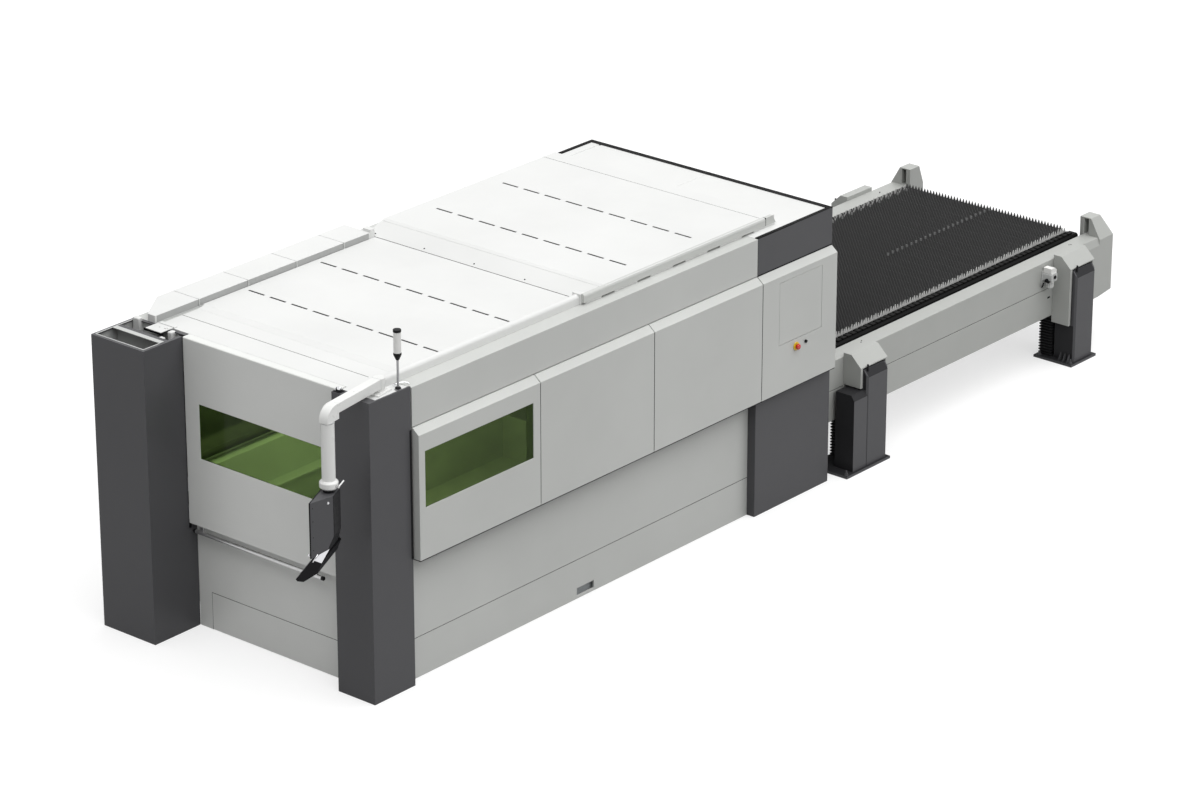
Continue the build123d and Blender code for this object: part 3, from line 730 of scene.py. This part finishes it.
def makeRoofStep():
    row = roofStep
    (footX, footZ), (crestX, crestZ) = row["foot"], row["crest"]

    def rampHeight(x):
        return footZ + (x - footX) * (crestZ - footZ) / (crestX - footX)

    def cutRamp(form):
        slope = Vector((footZ - crestZ, 0, crestX - footX)).normalized()
        parts = form.verts[:] + form.edges[:] + form.faces[:]
        foot = at(footX, 0, footZ)
        bmesh.ops.bisect_plane(form, geom=parts, plane_co=foot, plane_no=slope, clear_outer=True)
        rim = [edge for edge in form.edges if edge.is_boundary]
        bmesh.ops.holes_fill(form, edges=rim, sides=0)

    def stretch(after):
        limit = at(after, 0, 0).x

        def change(form):
            for corner in form.verts:
                if corner.co.x > limit:
                    corner.co.x += row["reach"] / 1000
        return change

    def buildRamp(form):
        back = footX + (row["plateTop"] - footZ) * (crestX - footX) / (crestZ - footZ)
        side = ((footX - 3, rampHeight(footX - 3)), (back, row["plateTop"]), (back + 4, row["plateTop"] - 12),
                (footX + 20, footZ - 4))
        half = row["plateHalf"]
        addProfile(form, side, (-half, half))

    def buildShadeLineAndScrews(form):
        half = row["shadeLineHalf"]
        # black strip at the ramp's foot: painted shade for the gap there; the screws on the slope follow
        addBlock(form, (footX - 8, footX - 3), (-half, half), (footZ - 3, footZ + 1.2))
        x = row["screwAlong"]
        for number in range(row["screwCount"]):
            y = row["screwFirst"] - number * row["screwPitch"]
            addTurned(form, (x, y, rampHeight(x)), (-0.31, 0, 0.95), ((6, -1), (6, 2), (4, 3)), 12)

    reshapeNode("rearCoverRamped", "rear_roof_cover", "litRoofPaint", cutRamp)
    reshapeNode("frontCoverLong", "front_roof_cover", "litRoofPaint", stretch(row["frontCoverEnd"] - 1))
    reshapeNode("roofRailsLong", "roof_rails", "litRoofPaint", stretch(row["railEnd"]))
    makePiece("coverRamp", buildRamp, "litRoofPaint", "machine")
    makePiece("rampShadeLineAndScrews", buildShadeLineAndScrews, "gasketAndShadeRubber", "machine")


makeRoofStep()


# rounded bar along the rear cover's side, with its end block, the black rear edges of the roof, and a black
# strip above the side panels, painted shade in the gap under the dark rear panels

coverRail = {
    "along": (-1992, 28),
    "endAlong": (34, 150),
    "endTop": 112,
    "across": (1030, 1058),
    "height": (2203, 2266.5),
    "round": 20,
    "joint": (-1.5, 1.5),
    "jointTop": 2265.4,
}
rearEdges = {
    "along": (-183, 695.5),
    "across": (1130, 1160.5),
    "height": (2187, 2193.5),
    "depth": 40,
    "shadeLineDeep": 10,
    "shadeLineProud": 1.5,
    "shadeLineHeight": (1897.5, 1906),
    "shadeLineRear": 690,
}


def makeCoverRail():
    row = coverRail
    inner, outer = row["across"]
    low, high = row["height"]

    def buildBar(form):
        start, end = row["along"]
        radius = row["round"]
        profile = [(-inner, low), (-inner, high)]
        for step in range(7):
            turn = math.radians(15 * step)
            y = radius - outer - radius * math.sin(turn)
            profile.append((y, high - radius + radius * math.cos(turn)))
        profile.append((-outer, low))
        addPrism(form, [at(start, y, z) for y, z in profile], (1, 0, 0), (end - start) / 1000)

    def buildEnd(form):
        start, end = row["endAlong"]
        side = ((start, low), (end, low), (row["endTop"], high), (start, high))
        addProfile(form, side, (-outer, -inner))

    def buildJoint(form):
        gap = (row["along"][1], row["endAlong"][0])
        addBlock(form, gap, (1.5 - outer, -inner), (low + 1, high - 1))
        addBlock(form, row["joint"], (-inner, outer - 8), (row["jointTop"] - 2, row["jointTop"]))

    makePiece("coverRail", buildBar, "lightPaint", "machine")
    makePiece("coverRailEnd", buildEnd, "lightPaint", "machine", soft=0.002)
    makePiece("coverRailJoint", buildJoint, "gasketAndShadeRubber", "machine")


def makeRearEdges():
    row = rearEdges
    inner, outer = row["across"]
    front, rear = row["along"]

    def buildEdges(form):
        for y in both(inner, outer):
            addBlock(form, (front, rear - row["depth"]), y, row["height"])
        addBlock(form, (rear - row["depth"], rear), (-outer, outer), row["height"])

    def buildSeamAndShadeLine(form):
        # black strip just above the side panels: painted shade of the gap there
        for y in both(outer - row["shadeLineDeep"], outer + row["shadeLineProud"]):
            addBlock(form, (front, row["shadeLineRear"]), y, row["shadeLineHeight"])

    makePiece("rearEdges", buildEdges, "blackPaint", "machine", soft=0.001)
    makePiece("rearPanelShadeLine", buildSeamAndShadeLine, "gasketAndShadeRubber", "machine")


makeCoverRail()
makeRearEdges()


# grey side of the left roof box, partly painted shade against its white top, with ribs at its joints

boxSide = {"along": (-4150, -2008), "face": 960, "height": (2189, 2242), "ribHalf": 5, "ribGap": 2,
           "ribDeep": 7, "ribRise": 2, "plate": (1.6, 0.2), "lip": (10, 2), "lipHigh": 6}


def makeBoxSide():
    row = boxSide
    face = row["face"]
    low, high = row["height"]
    joints = roofTrim["boxJoints"]
    half = row["ribHalf"]
    outer, inner = (face - depth for depth in row["plate"])

    def buildPlates(form):
        edges = [row["along"][0], *joints, row["along"][1]]
        inset = half + row["ribGap"]
        for start, end in zip(edges, edges[1:]):
            addBlock(form, (start + inset, end - inset), (outer, inner), (low, high))

    def buildRibs(form):
        for x in joints:
            addBlock(form, (x - half, x + half), (face - row["ribDeep"], inner), (low, high + row["ribRise"]))
        lip = [face - depth for depth in row["lip"]]
        addBlock(form, row["along"], lip, (low, low + row["lipHigh"]))

    makePiece("boxSidePlates", buildPlates, "greyAndShadedSidePaint", "machine")
    makePiece("boxRibs", buildRibs, "linerPaint", "machine", soft=0.001)


makeBoxSide()
print("roof step made")


# open top of the left pillar: light frame, divider bar, liners, posts and the tie to the roof

pillarTop = {
    "top": 2192,
    "frameHigh": 3,
    "frontStrip": (-4565, -4556),
    "leftStrip": (1122, 1130),
    "rightStrip": (663, 671),
    "leftStripEnd": -4190,
    "shaftAcross": (656, 1137),
    "bar": (-4410, -4368),
    "linerFoot": 1850,
    "linerTop": 2183,
    "linerThick": (3, 0.3),
    "rearLinerStart": 720,
    "dividerFront": -4352,
    "leftWall": 1138,
    "rearWall": -4171,
    "frontWall": -4572,
    "dividerBack": -4340,
    "cornerPost": ((-4214, -4173), (1066, 1130), (1850, 2214)),
    "rearPost": ((-4224, -4172), (742, 780), (1850, 2196)),
    "guideBlock": ((-4339, -4288), (728, 770), (2160, 2187)),
    "tie": ((-4268, -4146), (797, 945)),
    "tieThick": 5,
    "tieStep": (-4139, -4106),
    "roofTop": 2188,
    "rail": ((-4267, -4254), (785, 965), (2174, 2191.5)),
    "bolts": ((-4197, 876), (-4195, 826), (-4186, 812)),
}


def makePillarTop():
    row = pillarTop
    top = row["top"]
    high = (top, top + row["frameHigh"])
    inside = row["shaftAcross"]

    def buildFrame(form):
        front, left, right, bar = row["frontStrip"], row["leftStrip"], row["rightStrip"], row["bar"]
        addBlock(form, front, (right[0], left[1]), high)
        addBlock(form, (front[1], row["leftStripEnd"]), left, high)
        addBlock(form, (front[1], bar[0]), right, high)
        addBlock(form, bar, (right[0], left[0]), (top, top + 2 * row["frameHigh"]))

    def buildLiners(form):
        tall = (row["linerFoot"], row["linerTop"])
        divider, wall, rear = row["dividerFront"], row["leftWall"], row["rearWall"]
        thick, gap = row["linerThick"]
        left = (wall - thick, wall - gap)
        addBlock(form, (divider - thick, divider - gap), inside, tall)
        addBlock(form, (row["frontWall"] + 2, divider - 4), left, tall)
        addBlock(form, (row["dividerBack"] + 1, rear - 4), left, tall)
        addBlock(form, (rear - thick, rear - gap), (row["rearLinerStart"], wall - 4), tall)

    def buildTie(form):
        x, y = row["tie"]
        addBlock(form, x, y, (top, top + row["tieThick"]))
        addBlock(form, row["tieStep"], y, (row["roofTop"], top + row["tieThick"]))
        for bx, by in row["bolts"]:
            addTurned(form, (bx, by, top + row["tieThick"]), (0, 0, 1), ((8, 0), (8, 4), (6, 6)), 6)

    makePiece("pillarTopFrame", buildFrame, "linerPaint", "machine", soft=0.001)
    makePiece("shaftLiners", buildLiners, "linerPaint", "machine")
    posts = blocks(row["cornerPost"], row["rearPost"], row["guideBlock"])
    makePiece("shaftPosts", posts, "litRoofPaint", "machine", soft=0.008)
    makePiece("roofTie", buildTie, "litRoofPaint", "machine", soft=0.001)
    makePiece("tieRail", blocks(row["rail"]), "blackPlastic", "machine", soft=0.002)


makePillarTop()
print("left pillar top made")


# right pillar top: door stop, cable clamp, grommet and the seam of the arm

armFrame = {"pivot": (-4060, -1043), "turn": 8.2, "reach": 593, "consoleTurn": -65}


def swung(x, y, angle, pivot):
    turn = math.radians(angle)
    px, py = pivot
    return px + x * math.cos(turn) - y * math.sin(turn), py + x * math.sin(turn) + y * math.cos(turn)


def onArm(x, y, z):
    return at(*swung(x, y, armFrame["turn"], armFrame["pivot"]), z)


def onConsole(x, y, z):
    drop = swung(-armFrame["reach"], 0, armFrame["turn"], armFrame["pivot"])
    return at(*swung(x, y, armFrame["consoleTurn"], drop), z)


armTrim = {
    "seamAt": -27,
    "seamWide": 2.4,
    "armHalf": 35,
    "armHeight": (2222, 2290),
    "elbowRingZ": (2176, 2181),
    "elbowRing": 47.5,
    "stopPlate": ((-4279, -4224), (-888, -826), (2200, 2205)),
    "stopWheel": (-4250, -872, 2219),
    "stopProfile": ((5, -6), (13, -4), (14, 0), (14, 20), (13, 24), (5, 26)),
    "stopCheeks": (((-20, 18), (28, 32), 10), ((14, 22), (-4, 26), -2)),
    "lampPlace": (-3957, -1117, 2196),
    "clamp": ((-3936, -3902), (-1076, -1044), (2188, 2203)),
    "hookRoute": ((-3902, -1060, 2197), (-3882, -1070, 2204), (-3862, -1086, 2206), (-3846, -1100, 2200),
                  (-3838, -1108, 2191)),
}


def makeArmTrim():
    row = armTrim
    low, high = row["armHeight"]
    half = row["armHalf"] + 0.5

    def buildSeamAndShadeLine(form):
        x = (row["seamAt"] - row["seamWide"], row["seamAt"])
        addBlock(form, x, (-half, half), (low - 0.5, high + 0.5), onArm)
        foot, head = row["elbowRingZ"]
        radius = row["elbowRing"]
        base = (-armFrame["reach"], 0, foot)
        addTurned(form, base, (0, 0, 1), ((radius, 0), (radius, head - foot)), 32, onArm)

    def buildStop(form):
        x, y, z = row["stopWheel"]
        foot = row["stopPlate"][2][1]
        addTurned(form, (x, y, z), (0, 1, 0), row["stopProfile"], 20)
        for (front, back), (near, far), rise in row["stopCheeks"]:
            addBlock(form, (x + front, x + back), (y + near, y + far), (foot, z + rise))

    def buildClamp(form):
        x, y, z = row["clamp"]
        addBlock(form, x, y, z)
        addTurned(form, (x[0] + 12, y[0] + 10, z[1]), (0, 0, 1), ((8, 0), (8, 5), (6, 8)), 6)
        addPipe(form, row["hookRoute"], 4)

    def buildGrommet(form):
        addTurned(form, row["lampPlace"], (0, 0, 1), ((20, 0), (20, 8), (15, 13), (9, 15)), 24)

    makePiece("armSeams", buildSeamAndShadeLine, "greyPlastic", "arm")
    makePiece("doorStopPlate", blocks(row["stopPlate"]), "blackPlastic", "machine", soft=0.001)
    makePiece("doorStopWheel", buildStop, "chrome", "machine", soft=0.001)
    makePiece("cableClamp", buildClamp, "chrome", "machine", soft=0.001)
    makePiece("lampGrommet", buildGrommet, "rubber", "machine", smooth=True)


makeArmTrim()
print("arm trim made")


# console: bezel, back cover, lock, screws and the metal link to the tray

consoleTrim = {
    "front": -55,
    "back": 50,
    "half": 230,
    "backHalf": 69,
    "height": (1294, 1690),
    "border": 11,
    "bezelDepth": 9,
    "backCut": (10, 1400),
    "lock": (149, 1651),
    "screwAlong": 21,
    "screwHeights": (1348, 1440, 1554, 1648),
    "neck": 1690.3,
    "linkFoot": ((-45, -206, 1276), (8, -206, 1262)),
    "linkHead": ((-16, -173, 1308), (30, -102, 1322)),
    "linkThick": 3,
    "rodFrom": (-52, -209, 1262),
    "rodTo": (-24, -186, 1312),
    "rodRadius": 5,
    "trayTop": ((-58, 1280), (-177, 1122)),
    "strip": (0.22, 0.80),
    "stripAcross": (-186, -160),
    "stripHigh": (0.3, 3),
    "knob": (-64, -196, 1302),
}


def onConsoleSide(along, out, z):
    row = consoleTrim
    dx, dy = row["back"] - row["front"], row["half"] - row["backHalf"]
    length = math.hypot(dx, dy)
    x = row["front"] + along * dx / length + out * dy / length
    y = -row["half"] + along * dy / length - out * dx / length
    return onConsole(x, y, z)


def makeConsoleTrim():
    row = consoleTrim
    low, high = row["height"]
    half, border = row["half"], row["border"]
    x = (row["front"] - row["bezelDepth"], row["front"] - 0.2)

    def buildBezel(form):
        addBlock(form, x, (-half, half), (low, low + border), onConsole)
        addBlock(form, x, (-half, half), (high - border, high), onConsole)
        for y in both(half - border, half):
            addBlock(form, x, y, (low + border, high - border), onConsole)

    def buildBack(form):
        cutX, cutZ = row["backCut"]
        back, wide = row["back"], row["backHalf"]
        addBlock(form, (back + 0.2, back + 3), (-wide, wide), (cutZ, high - 2), onConsole)
        side = ((cutX, low), (back, cutZ), (back + 3, cutZ), (cutX + 3, low - 2))
        reach = wide + 50
        lower = [onConsole(px, -wide if px >= back else -reach, pz) for px, pz in side]
        upper = [onConsole(px, wide if px >= back else reach, pz) for px, pz in side]
        addLayers(form, [lower, upper])
        addTurned(form, (0, 0, row["neck"]), (0, 0, 1), ((41, 0), (41, 12), (38, 16)), 28, onConsole)
        for z in row["screwHeights"]:
            base = (row["screwAlong"], 0, z)
            addTurned(form, base, (0, 1, 0), ((3.6, 0.1), (3.6, 1.0), (2.6, 1.6)), 12, onConsoleSide)

    def buildBright(form):
        along, z = row["lock"]
        addTurned(form, (along, 0, z), (0, 1, 0), ((9, 0.1), (9, 4), (6, 6), (5.9, 4)), 24, onConsoleSide)
        addTurned(form, row["knob"], (-1, 0, 0), ((4, 0), (4, 8), (9, 12), (9, 22), (6, 26)), 20, onConsole)
        for side in (-1, 1):
            ends = [(px, -side * py, pz) for px, py, pz in (row["rodFrom"], row["rodTo"])]
            addPipe(form, ends, row["rodRadius"], 12, onConsole)

    def buildLink(form):
        (footA, footB), (headA, headB) = row["linkFoot"], row["linkHead"]
        corners = (footA, footB, headB, headA)
        for side in (-1, 1):
            layers = []
            for inset in (0, row["linkThick"]):
                layers.append([onConsole(px, -side * (py - inset), pz) for px, py, pz in corners])
            addLayers(form, layers)
        (x0, z0), (x1, z1) = row["trayTop"]
        first, last = ((x0 + (x1 - x0) * share, z0 + (z1 - z0) * share) for share in row["strip"])
        out = Vector((z1 - z0, x0 - x1)).normalized()
        near, far = row["stripAcross"]
        layers = []
        for rise in row["stripHigh"]:
            plan = ((first, near), (first, far), (last, far), (last, near))
            layers.append([onConsole(px + out.x * rise, y, pz + out.y * rise) for (px, pz), y in plan])
        addLayers(form, layers)

    makePiece("consoleBezel", buildBezel, "blackPlastic", "console", soft=0.0015)
    makePiece("consoleBack", buildBack, "blackPlastic", "console", soft=0.001)
    makePiece("consoleLock", buildBright, "linkSteel", "console", smooth=True)
    makePiece("trayLink", buildLink, "stemSteel", "console", soft=0.0008)


makeConsoleTrim()
print("console trim made")


# door handle ends

handleTrim = {"x": -4205, "z": 754, "ends": (-622, 596), "radius": 14.6, "capLong": 12, "lap": 10, "round": 3}


def makeHandleCaps():
    row = handleTrim

    def build(form):
        radius, edge = row["radius"], row["round"]
        long = row["lap"] + row["capLong"]
        profile = ((radius, 0), (radius, long - edge), (radius - edge, long))
        for y, way in zip(row["ends"], (-1, 1)):
            addTurned(form, (row["x"], y - way * row["lap"], row["z"]), (0, way, 0), profile, 24)

    makePiece("handleCaps", build, "blackPlastic", "door", smooth=True, soft=0.001)


makeHandleCaps()


# shuttle table: pins on the posts, anchor bolts, fittings, slot and screws of the beams

tableTrim = {
    "pins": ((3852, 1209), (1108, 1209)),
    "pinHeight": (776, 832),
    "pinRadius": 8,
    "baseTop": 20,
    "anchors": ((3780, 930), (3780, 1230), (840, 930), (840, 1230)),
    "ribs": ((3764, 1120), (3764, 1160), (3764, 1200)),
    "ribSize": (46, 5, 62),
    "ribTop": 10,
    "washer": ((17, 0), (17, 3), (16, 3.5)),
    "nut": ((13, 3.5), (13, 14), (11, 16)),
    "stud": ((7, 16), (7, 34), (5, 37)),
    "slot": ((3712, 3746), (545, 560)),
    "seam": (632.2, 633.8),
    "seamAlong": (714, 4392),
    "beamFace": 1030,
    "beamTop": 870,
    "topScrews": ((4123, 957), (4108, 948), (1352, 956), (1380, 940)),
    "fitting": ((1416, 1457), (1032, 1084), (772, 812)),
}


def makeTableTrim():
    row = tableTrim

    def addUpright(form, x, y, z, profile, sides):
        for side in (-1, 1):
            addTurned(form, (x, side * y, z), (0, 0, 1), profile, sides)

    def buildPins(form):
        low, high = row["pinHeight"]
        radius = row["pinRadius"]
        for x, y in row["pins"]:
            addUpright(form, x, y, low, ((radius, 0), (radius, high - low - 4), (radius - 3, high - low)), 16)

    def buildAnchors(form):
        top = row["baseTop"]
        for x, y in row["anchors"]:
            for profile, sides in ((row["washer"], 20), (row["nut"], 6), (row["stud"], 12)):
                addUpright(form, x, y, top, profile, sides)
        long, thick, tall = row["ribSize"]
        for x, y in row["ribs"]:
            end = x + long
            outline = ((x, top), (end, top), (end, top + tall), (end - row["ribTop"], top + tall))
            for across in both(y - thick / 2, y + thick / 2):
                addProfile(form, outline, across)

    def buildSlots(form):
        x, z = row["slot"]
        face = row["beamFace"]
        for y in both(face, face + 0.8):
            addBlock(form, x, y, z)
        for y in both(face - 3.4, face - 0.8):
            addBlock(form, row["seamAlong"], y, row["seam"])
        for sx, sy in row["topScrews"]:
            addUpright(form, sx, sy, row["beamTop"], ((5, 0), (5, 2), (3, 3)), 12)

    def buildFittings(form):
        x, y, z = row["fitting"]
        for side, across in zip((-1, 1), both(*y)):
            addBlock(form, x, across, z)
            middle = (sum(x) / 2 + 4, side * (y[1] - 1), sum(z) / 2)
            addTurned(form, middle, (0, side, 0), ((12, 0), (12, 10), (8, 14)), 16)

    makePiece("postPins", buildPins, "blackPlastic", "machine", smooth=True, soft=0.001)
    makePiece("anchorBolts", buildAnchors, "darkPaint", "machine", soft=0.001)
    makePiece("beamSlots", buildSlots, "gasketAndShadeRubber", "changer")
    makePiece("hoseFittings", buildFittings, "whitePlastic", "changer", soft=0.003)


makeTableTrim()


# near-black skins on the lift posts' chamfered tops, drive boxes and -X faces, painted shade and dark
# reflection there, the drive-box skin also standing for a black cover; dark base plates

postShadeAndBaseSkins = {
    "posts": ((1074, 1334), (3814, 4074)),
    "bases": ((814, 1353), (3754, 4098)),
    "across": (1045, 1235),
    "baseAcross": (889, 1257),
    "baseTop": 20,
    "top": 790,
    "capChamfer": (36, 50),
    "edge": 14,
    "driveBox": (914, 1074),
    "driveTop": 635,
    "driveShoulder": (1205, 595),
    "driveInner": 1060,
    "coverFoot": 21,
    "upperInner": 1200,
    "skin": 1.4,
    "rearCoverTop": 326,
}


def makePostShadeAndBaseSkins():
    row = postShadeAndBaseSkins
    inner, outer = row["across"]
    wide, tall = row["capChamfer"]
    top, skin, edge = row["top"], row["skin"], row["edge"]

    def sidePrism(form, outline, x, side):
        points = [at(x[0], side * y, z) for y, z in outline]
        addPrism(form, points, (1, 0, 0), (x[1] - x[0]) / 1000)

    def build(form):
        (shoulderY, shoulderZ), lid, deep = row["driveShoulder"], row["driveTop"], row["driveInner"]
        front, back = row["driveBox"]
        foot, low, start = row["coverFoot"], row["rearCoverTop"], row["upperInner"]
        rim = outer - edge
        slopeForm = ((outer - wide, top), (outer, top - tall), (outer + skin, top - tall - 1),
                     (outer - wide + skin, top + skin))
        faceForm = ((deep, foot), (outer - 1, foot), (outer - 1, shoulderZ), (shoulderY - 1, lid),
                    (deep, lid))
        lidForm = ((deep, lid), (shoulderY, lid), (outer, shoulderZ), (outer + skin, shoulderZ),
                   (shoulderY + 1, lid + skin), (deep, lid + skin))
        upperForm = ((start, lid + 2), (rim, lid + 2), (rim, top - tall), (outer - wide, top - 1),
                     (start, top - 1))
        lowForm = ((inner + 2, foot), (rim, foot), (rim, low), (inner + 2, low))
        nearPost, farPost = row["posts"]
        for side in (-1, 1):
            for post in row["posts"]:
                sidePrism(form, slopeForm, (post[0] + edge, post[1] - edge), side)
            sidePrism(form, faceForm, (front - skin, front), side)
            sidePrism(form, lidForm, (front, back - 1), side)
            sidePrism(form, upperForm, (nearPost[0] - skin, nearPost[0]), side)
            sidePrism(form, lowForm, (farPost[0] - skin, farPost[0]), side)

    def buildBases(form):
        near, far = row["baseAcross"]
        rim = row["baseTop"]
        for start, end in row["bases"]:
            for y in both(near + 2, far - 2):
                addBlock(form, (start + 2, end - 2), y, (rim - 0.5, rim + 0.9))

    # these skins paint the shade and dark reflection on the posts' chamfers, drive boxes and -X faces
    makePiece("postShadeSkins", build, "capPaint", "machine")
    makePiece("baseSkins", buildBases, "capPaint", "machine")


makePostShadeAndBaseSkins()
print("post covers made")


# compressed-air unit: knob, gauge, bowl guard and elbow on the plain body

airTrim = {
    "corner": (3660, -1030, 735),
    "bowl": (6, -52),
    "guardBars": 8,
    "guardRadius": 27,
    "barHalf": 2.4,
    "barHeight": (-60, -8),
    "ringFoot": -20,
    "ring": ((30, 0), (30, 12), (28, 12.2)),
    "head": ((-30, 61), (44, 61), (44, 84), (20, 104), (-30, 104)),
    "headAcross": (-84, -8),
    "knob": ((-34, -50, 4), (-1, 0, 0), ((15, 0), (15, 14), (12, 18)), 20),
    "plug": ((-30, -70, -4), (-1, 0, 0), ((9, 0), (9, 22), (7, 24)), 12),
    "gauge": ((8, -92, 30), (0, -1, 0), ((15, 0), (15, 7), (13, 9)), 24),
    "elbow": ((-46, -24, -20), (-52, -26, -34), (-50, -18, -52), (-44, -6, -62)),
    "elbowRadius": 6,
}


def makeAirTrim():
    row = airTrim
    x, face, z = row["corner"]

    def onUnit(px, py, pz):
        return at(x + px, face + py, z + pz)

    def buildLight(form):
        bowlX, bowlY = row["bowl"]
        half = row["barHalf"]
        for number in range(row["guardBars"]):
            turn = 2 * math.pi * number / row["guardBars"]
            px = bowlX + row["guardRadius"] * math.cos(turn)
            py = bowlY + row["guardRadius"] * math.sin(turn)
            addBlock(form, (px - half, px + half), (py - half, py + half), row["barHeight"], onUnit)
        addTurned(form, (bowlX, bowlY, row["ringFoot"]), (0, 0, 1), row["ring"], 24, onUnit)
        addProfile(form, row["head"], row["headAcross"], onUnit)

    def buildDark(form):
        for part in ("knob", "plug", "gauge"):
            addTurned(form, *row[part], onUnit)
        addPipe(form, row["elbow"], row["elbowRadius"], place=onUnit)

    makePiece("airUnitGuard", buildLight, "whitePlastic", "changer", soft=0.001)
    makePiece("airUnitKnobs", buildDark, "blackPlastic", "changer", soft=0.001)


makeAirTrim()
print("table trim made")


# room: floor, light and camera

room = {
    "floorColor": (0.28, 0.28, 0.28),
    "floorShown": (0.44, 0.44, 0.44),
    "floorGlow": 0.6,
    "ambient": 0.36,
    "sunEnergy": 3.1,
    "sunFrom": (0.06, -0.30, 0.95),
    "sunAngle": 90,
    "bayLampPower": 46,
    "bayLampMiddle": (-2350, 0, 1075),
    "bayLampSize": (2.9, 2.0),
    "cameraPlace": (-24187.5, -20041.4, 13555.1),
    "cameraTurn": (-49.6744, 22.4642),
    "lens": 135.66,
}


def backgroundRays(tree):
    path = tree.nodes.new("ShaderNodeLightPath")
    total = path.outputs["Is Camera Ray"]
    for ray in ("Is Glossy Ray", "Is Transmission Ray"):
        add = tree.nodes.new("ShaderNodeMath")
        add.operation = "MAXIMUM"
        tree.links.new(total, add.inputs[0])
        tree.links.new(path.outputs[ray], add.inputs[1])
        total = add.outputs["Value"]
    return total


def makeRoom():
    scene = bpy.context.scene
    scene.view_settings.view_transform = "Standard"
    mesh = bpy.data.meshes.new("floor")
    half = 40
    corners = [(-half, -half, -0.001), (half, -half, -0.001), (half, half, -0.001), (-half, half, -0.001)]
    mesh.from_pydata(corners, [], [(0, 1, 2, 3)])
    floor = placeInScene("floor", mesh)
    material, tree, shader = finishNodes(room["floorColor"], 0.9)
    material.name = "floorFinish"
    setInputs(shader, {"Specular IOR Level": 0.0, "Emission Color": (1, 1, 1, 1)})
    shown = mixColor(tree, backgroundRays(tree), room["floorColor"], room["floorShown"])
    tree.links.new(shown, shader.inputs["Base Color"])
    glow = remap(tree, backgroundRays(tree), 0, room["floorGlow"], 0, 1)
    tree.links.new(glow, shader.inputs["Emission Strength"])
    mesh.materials.append(material)

    world = bpy.data.worlds.new("studio")
    scene.world = world
    world.use_nodes = True
    tree = world.node_tree
    background = tree.nodes["Background"]
    background.inputs["Color"].default_value = (1, 1, 1, 1)
    strength = remap(tree, backgroundRays(tree), room["ambient"], 1.0, 0, 1)
    tree.links.new(strength, background.inputs["Strength"])

    lamp = bpy.data.lights.new("overhead", "SUN")
    lamp.energy = room["sunEnergy"]
    lamp.angle = math.radians(room["sunAngle"])
    sun = placeInScene("overhead", lamp)
    sun.rotation_euler = (-Vector(room["sunFrom"])).to_track_quat("-Z", "Y").to_euler()
    sun.location = (0, 0, 8)

    lamp = bpy.data.lights.new("bayLamp", "AREA")  # work light under the roof, seen through the windows
    lamp.energy = room["bayLampPower"]
    lamp.shape = "RECTANGLE"
    lamp.size, lamp.size_y = room["bayLampSize"]
    bayLamp = placeInScene("bayLamp", lamp)
    bayLamp.location = at(*room["bayLampMiddle"])
    bayLamp.visible_camera = False
    bayLamp.visible_transmission = False
    bayLamp.visible_glossy = False

    data = bpy.data.cameras.new("view")
    data.lens = room["lens"]
    data.sensor_width = 36
    data.sensor_fit = "HORIZONTAL"
    data.clip_end = 200
    camera = placeInScene("view", data)
    around, above = (math.radians(angle) for angle in room["cameraTurn"])
    camera.location = at(*room["cameraPlace"])
    camera.rotation_euler = (math.pi / 2 - above, 0, around)
    scene.camera = camera


makeRoom()
print("room made")
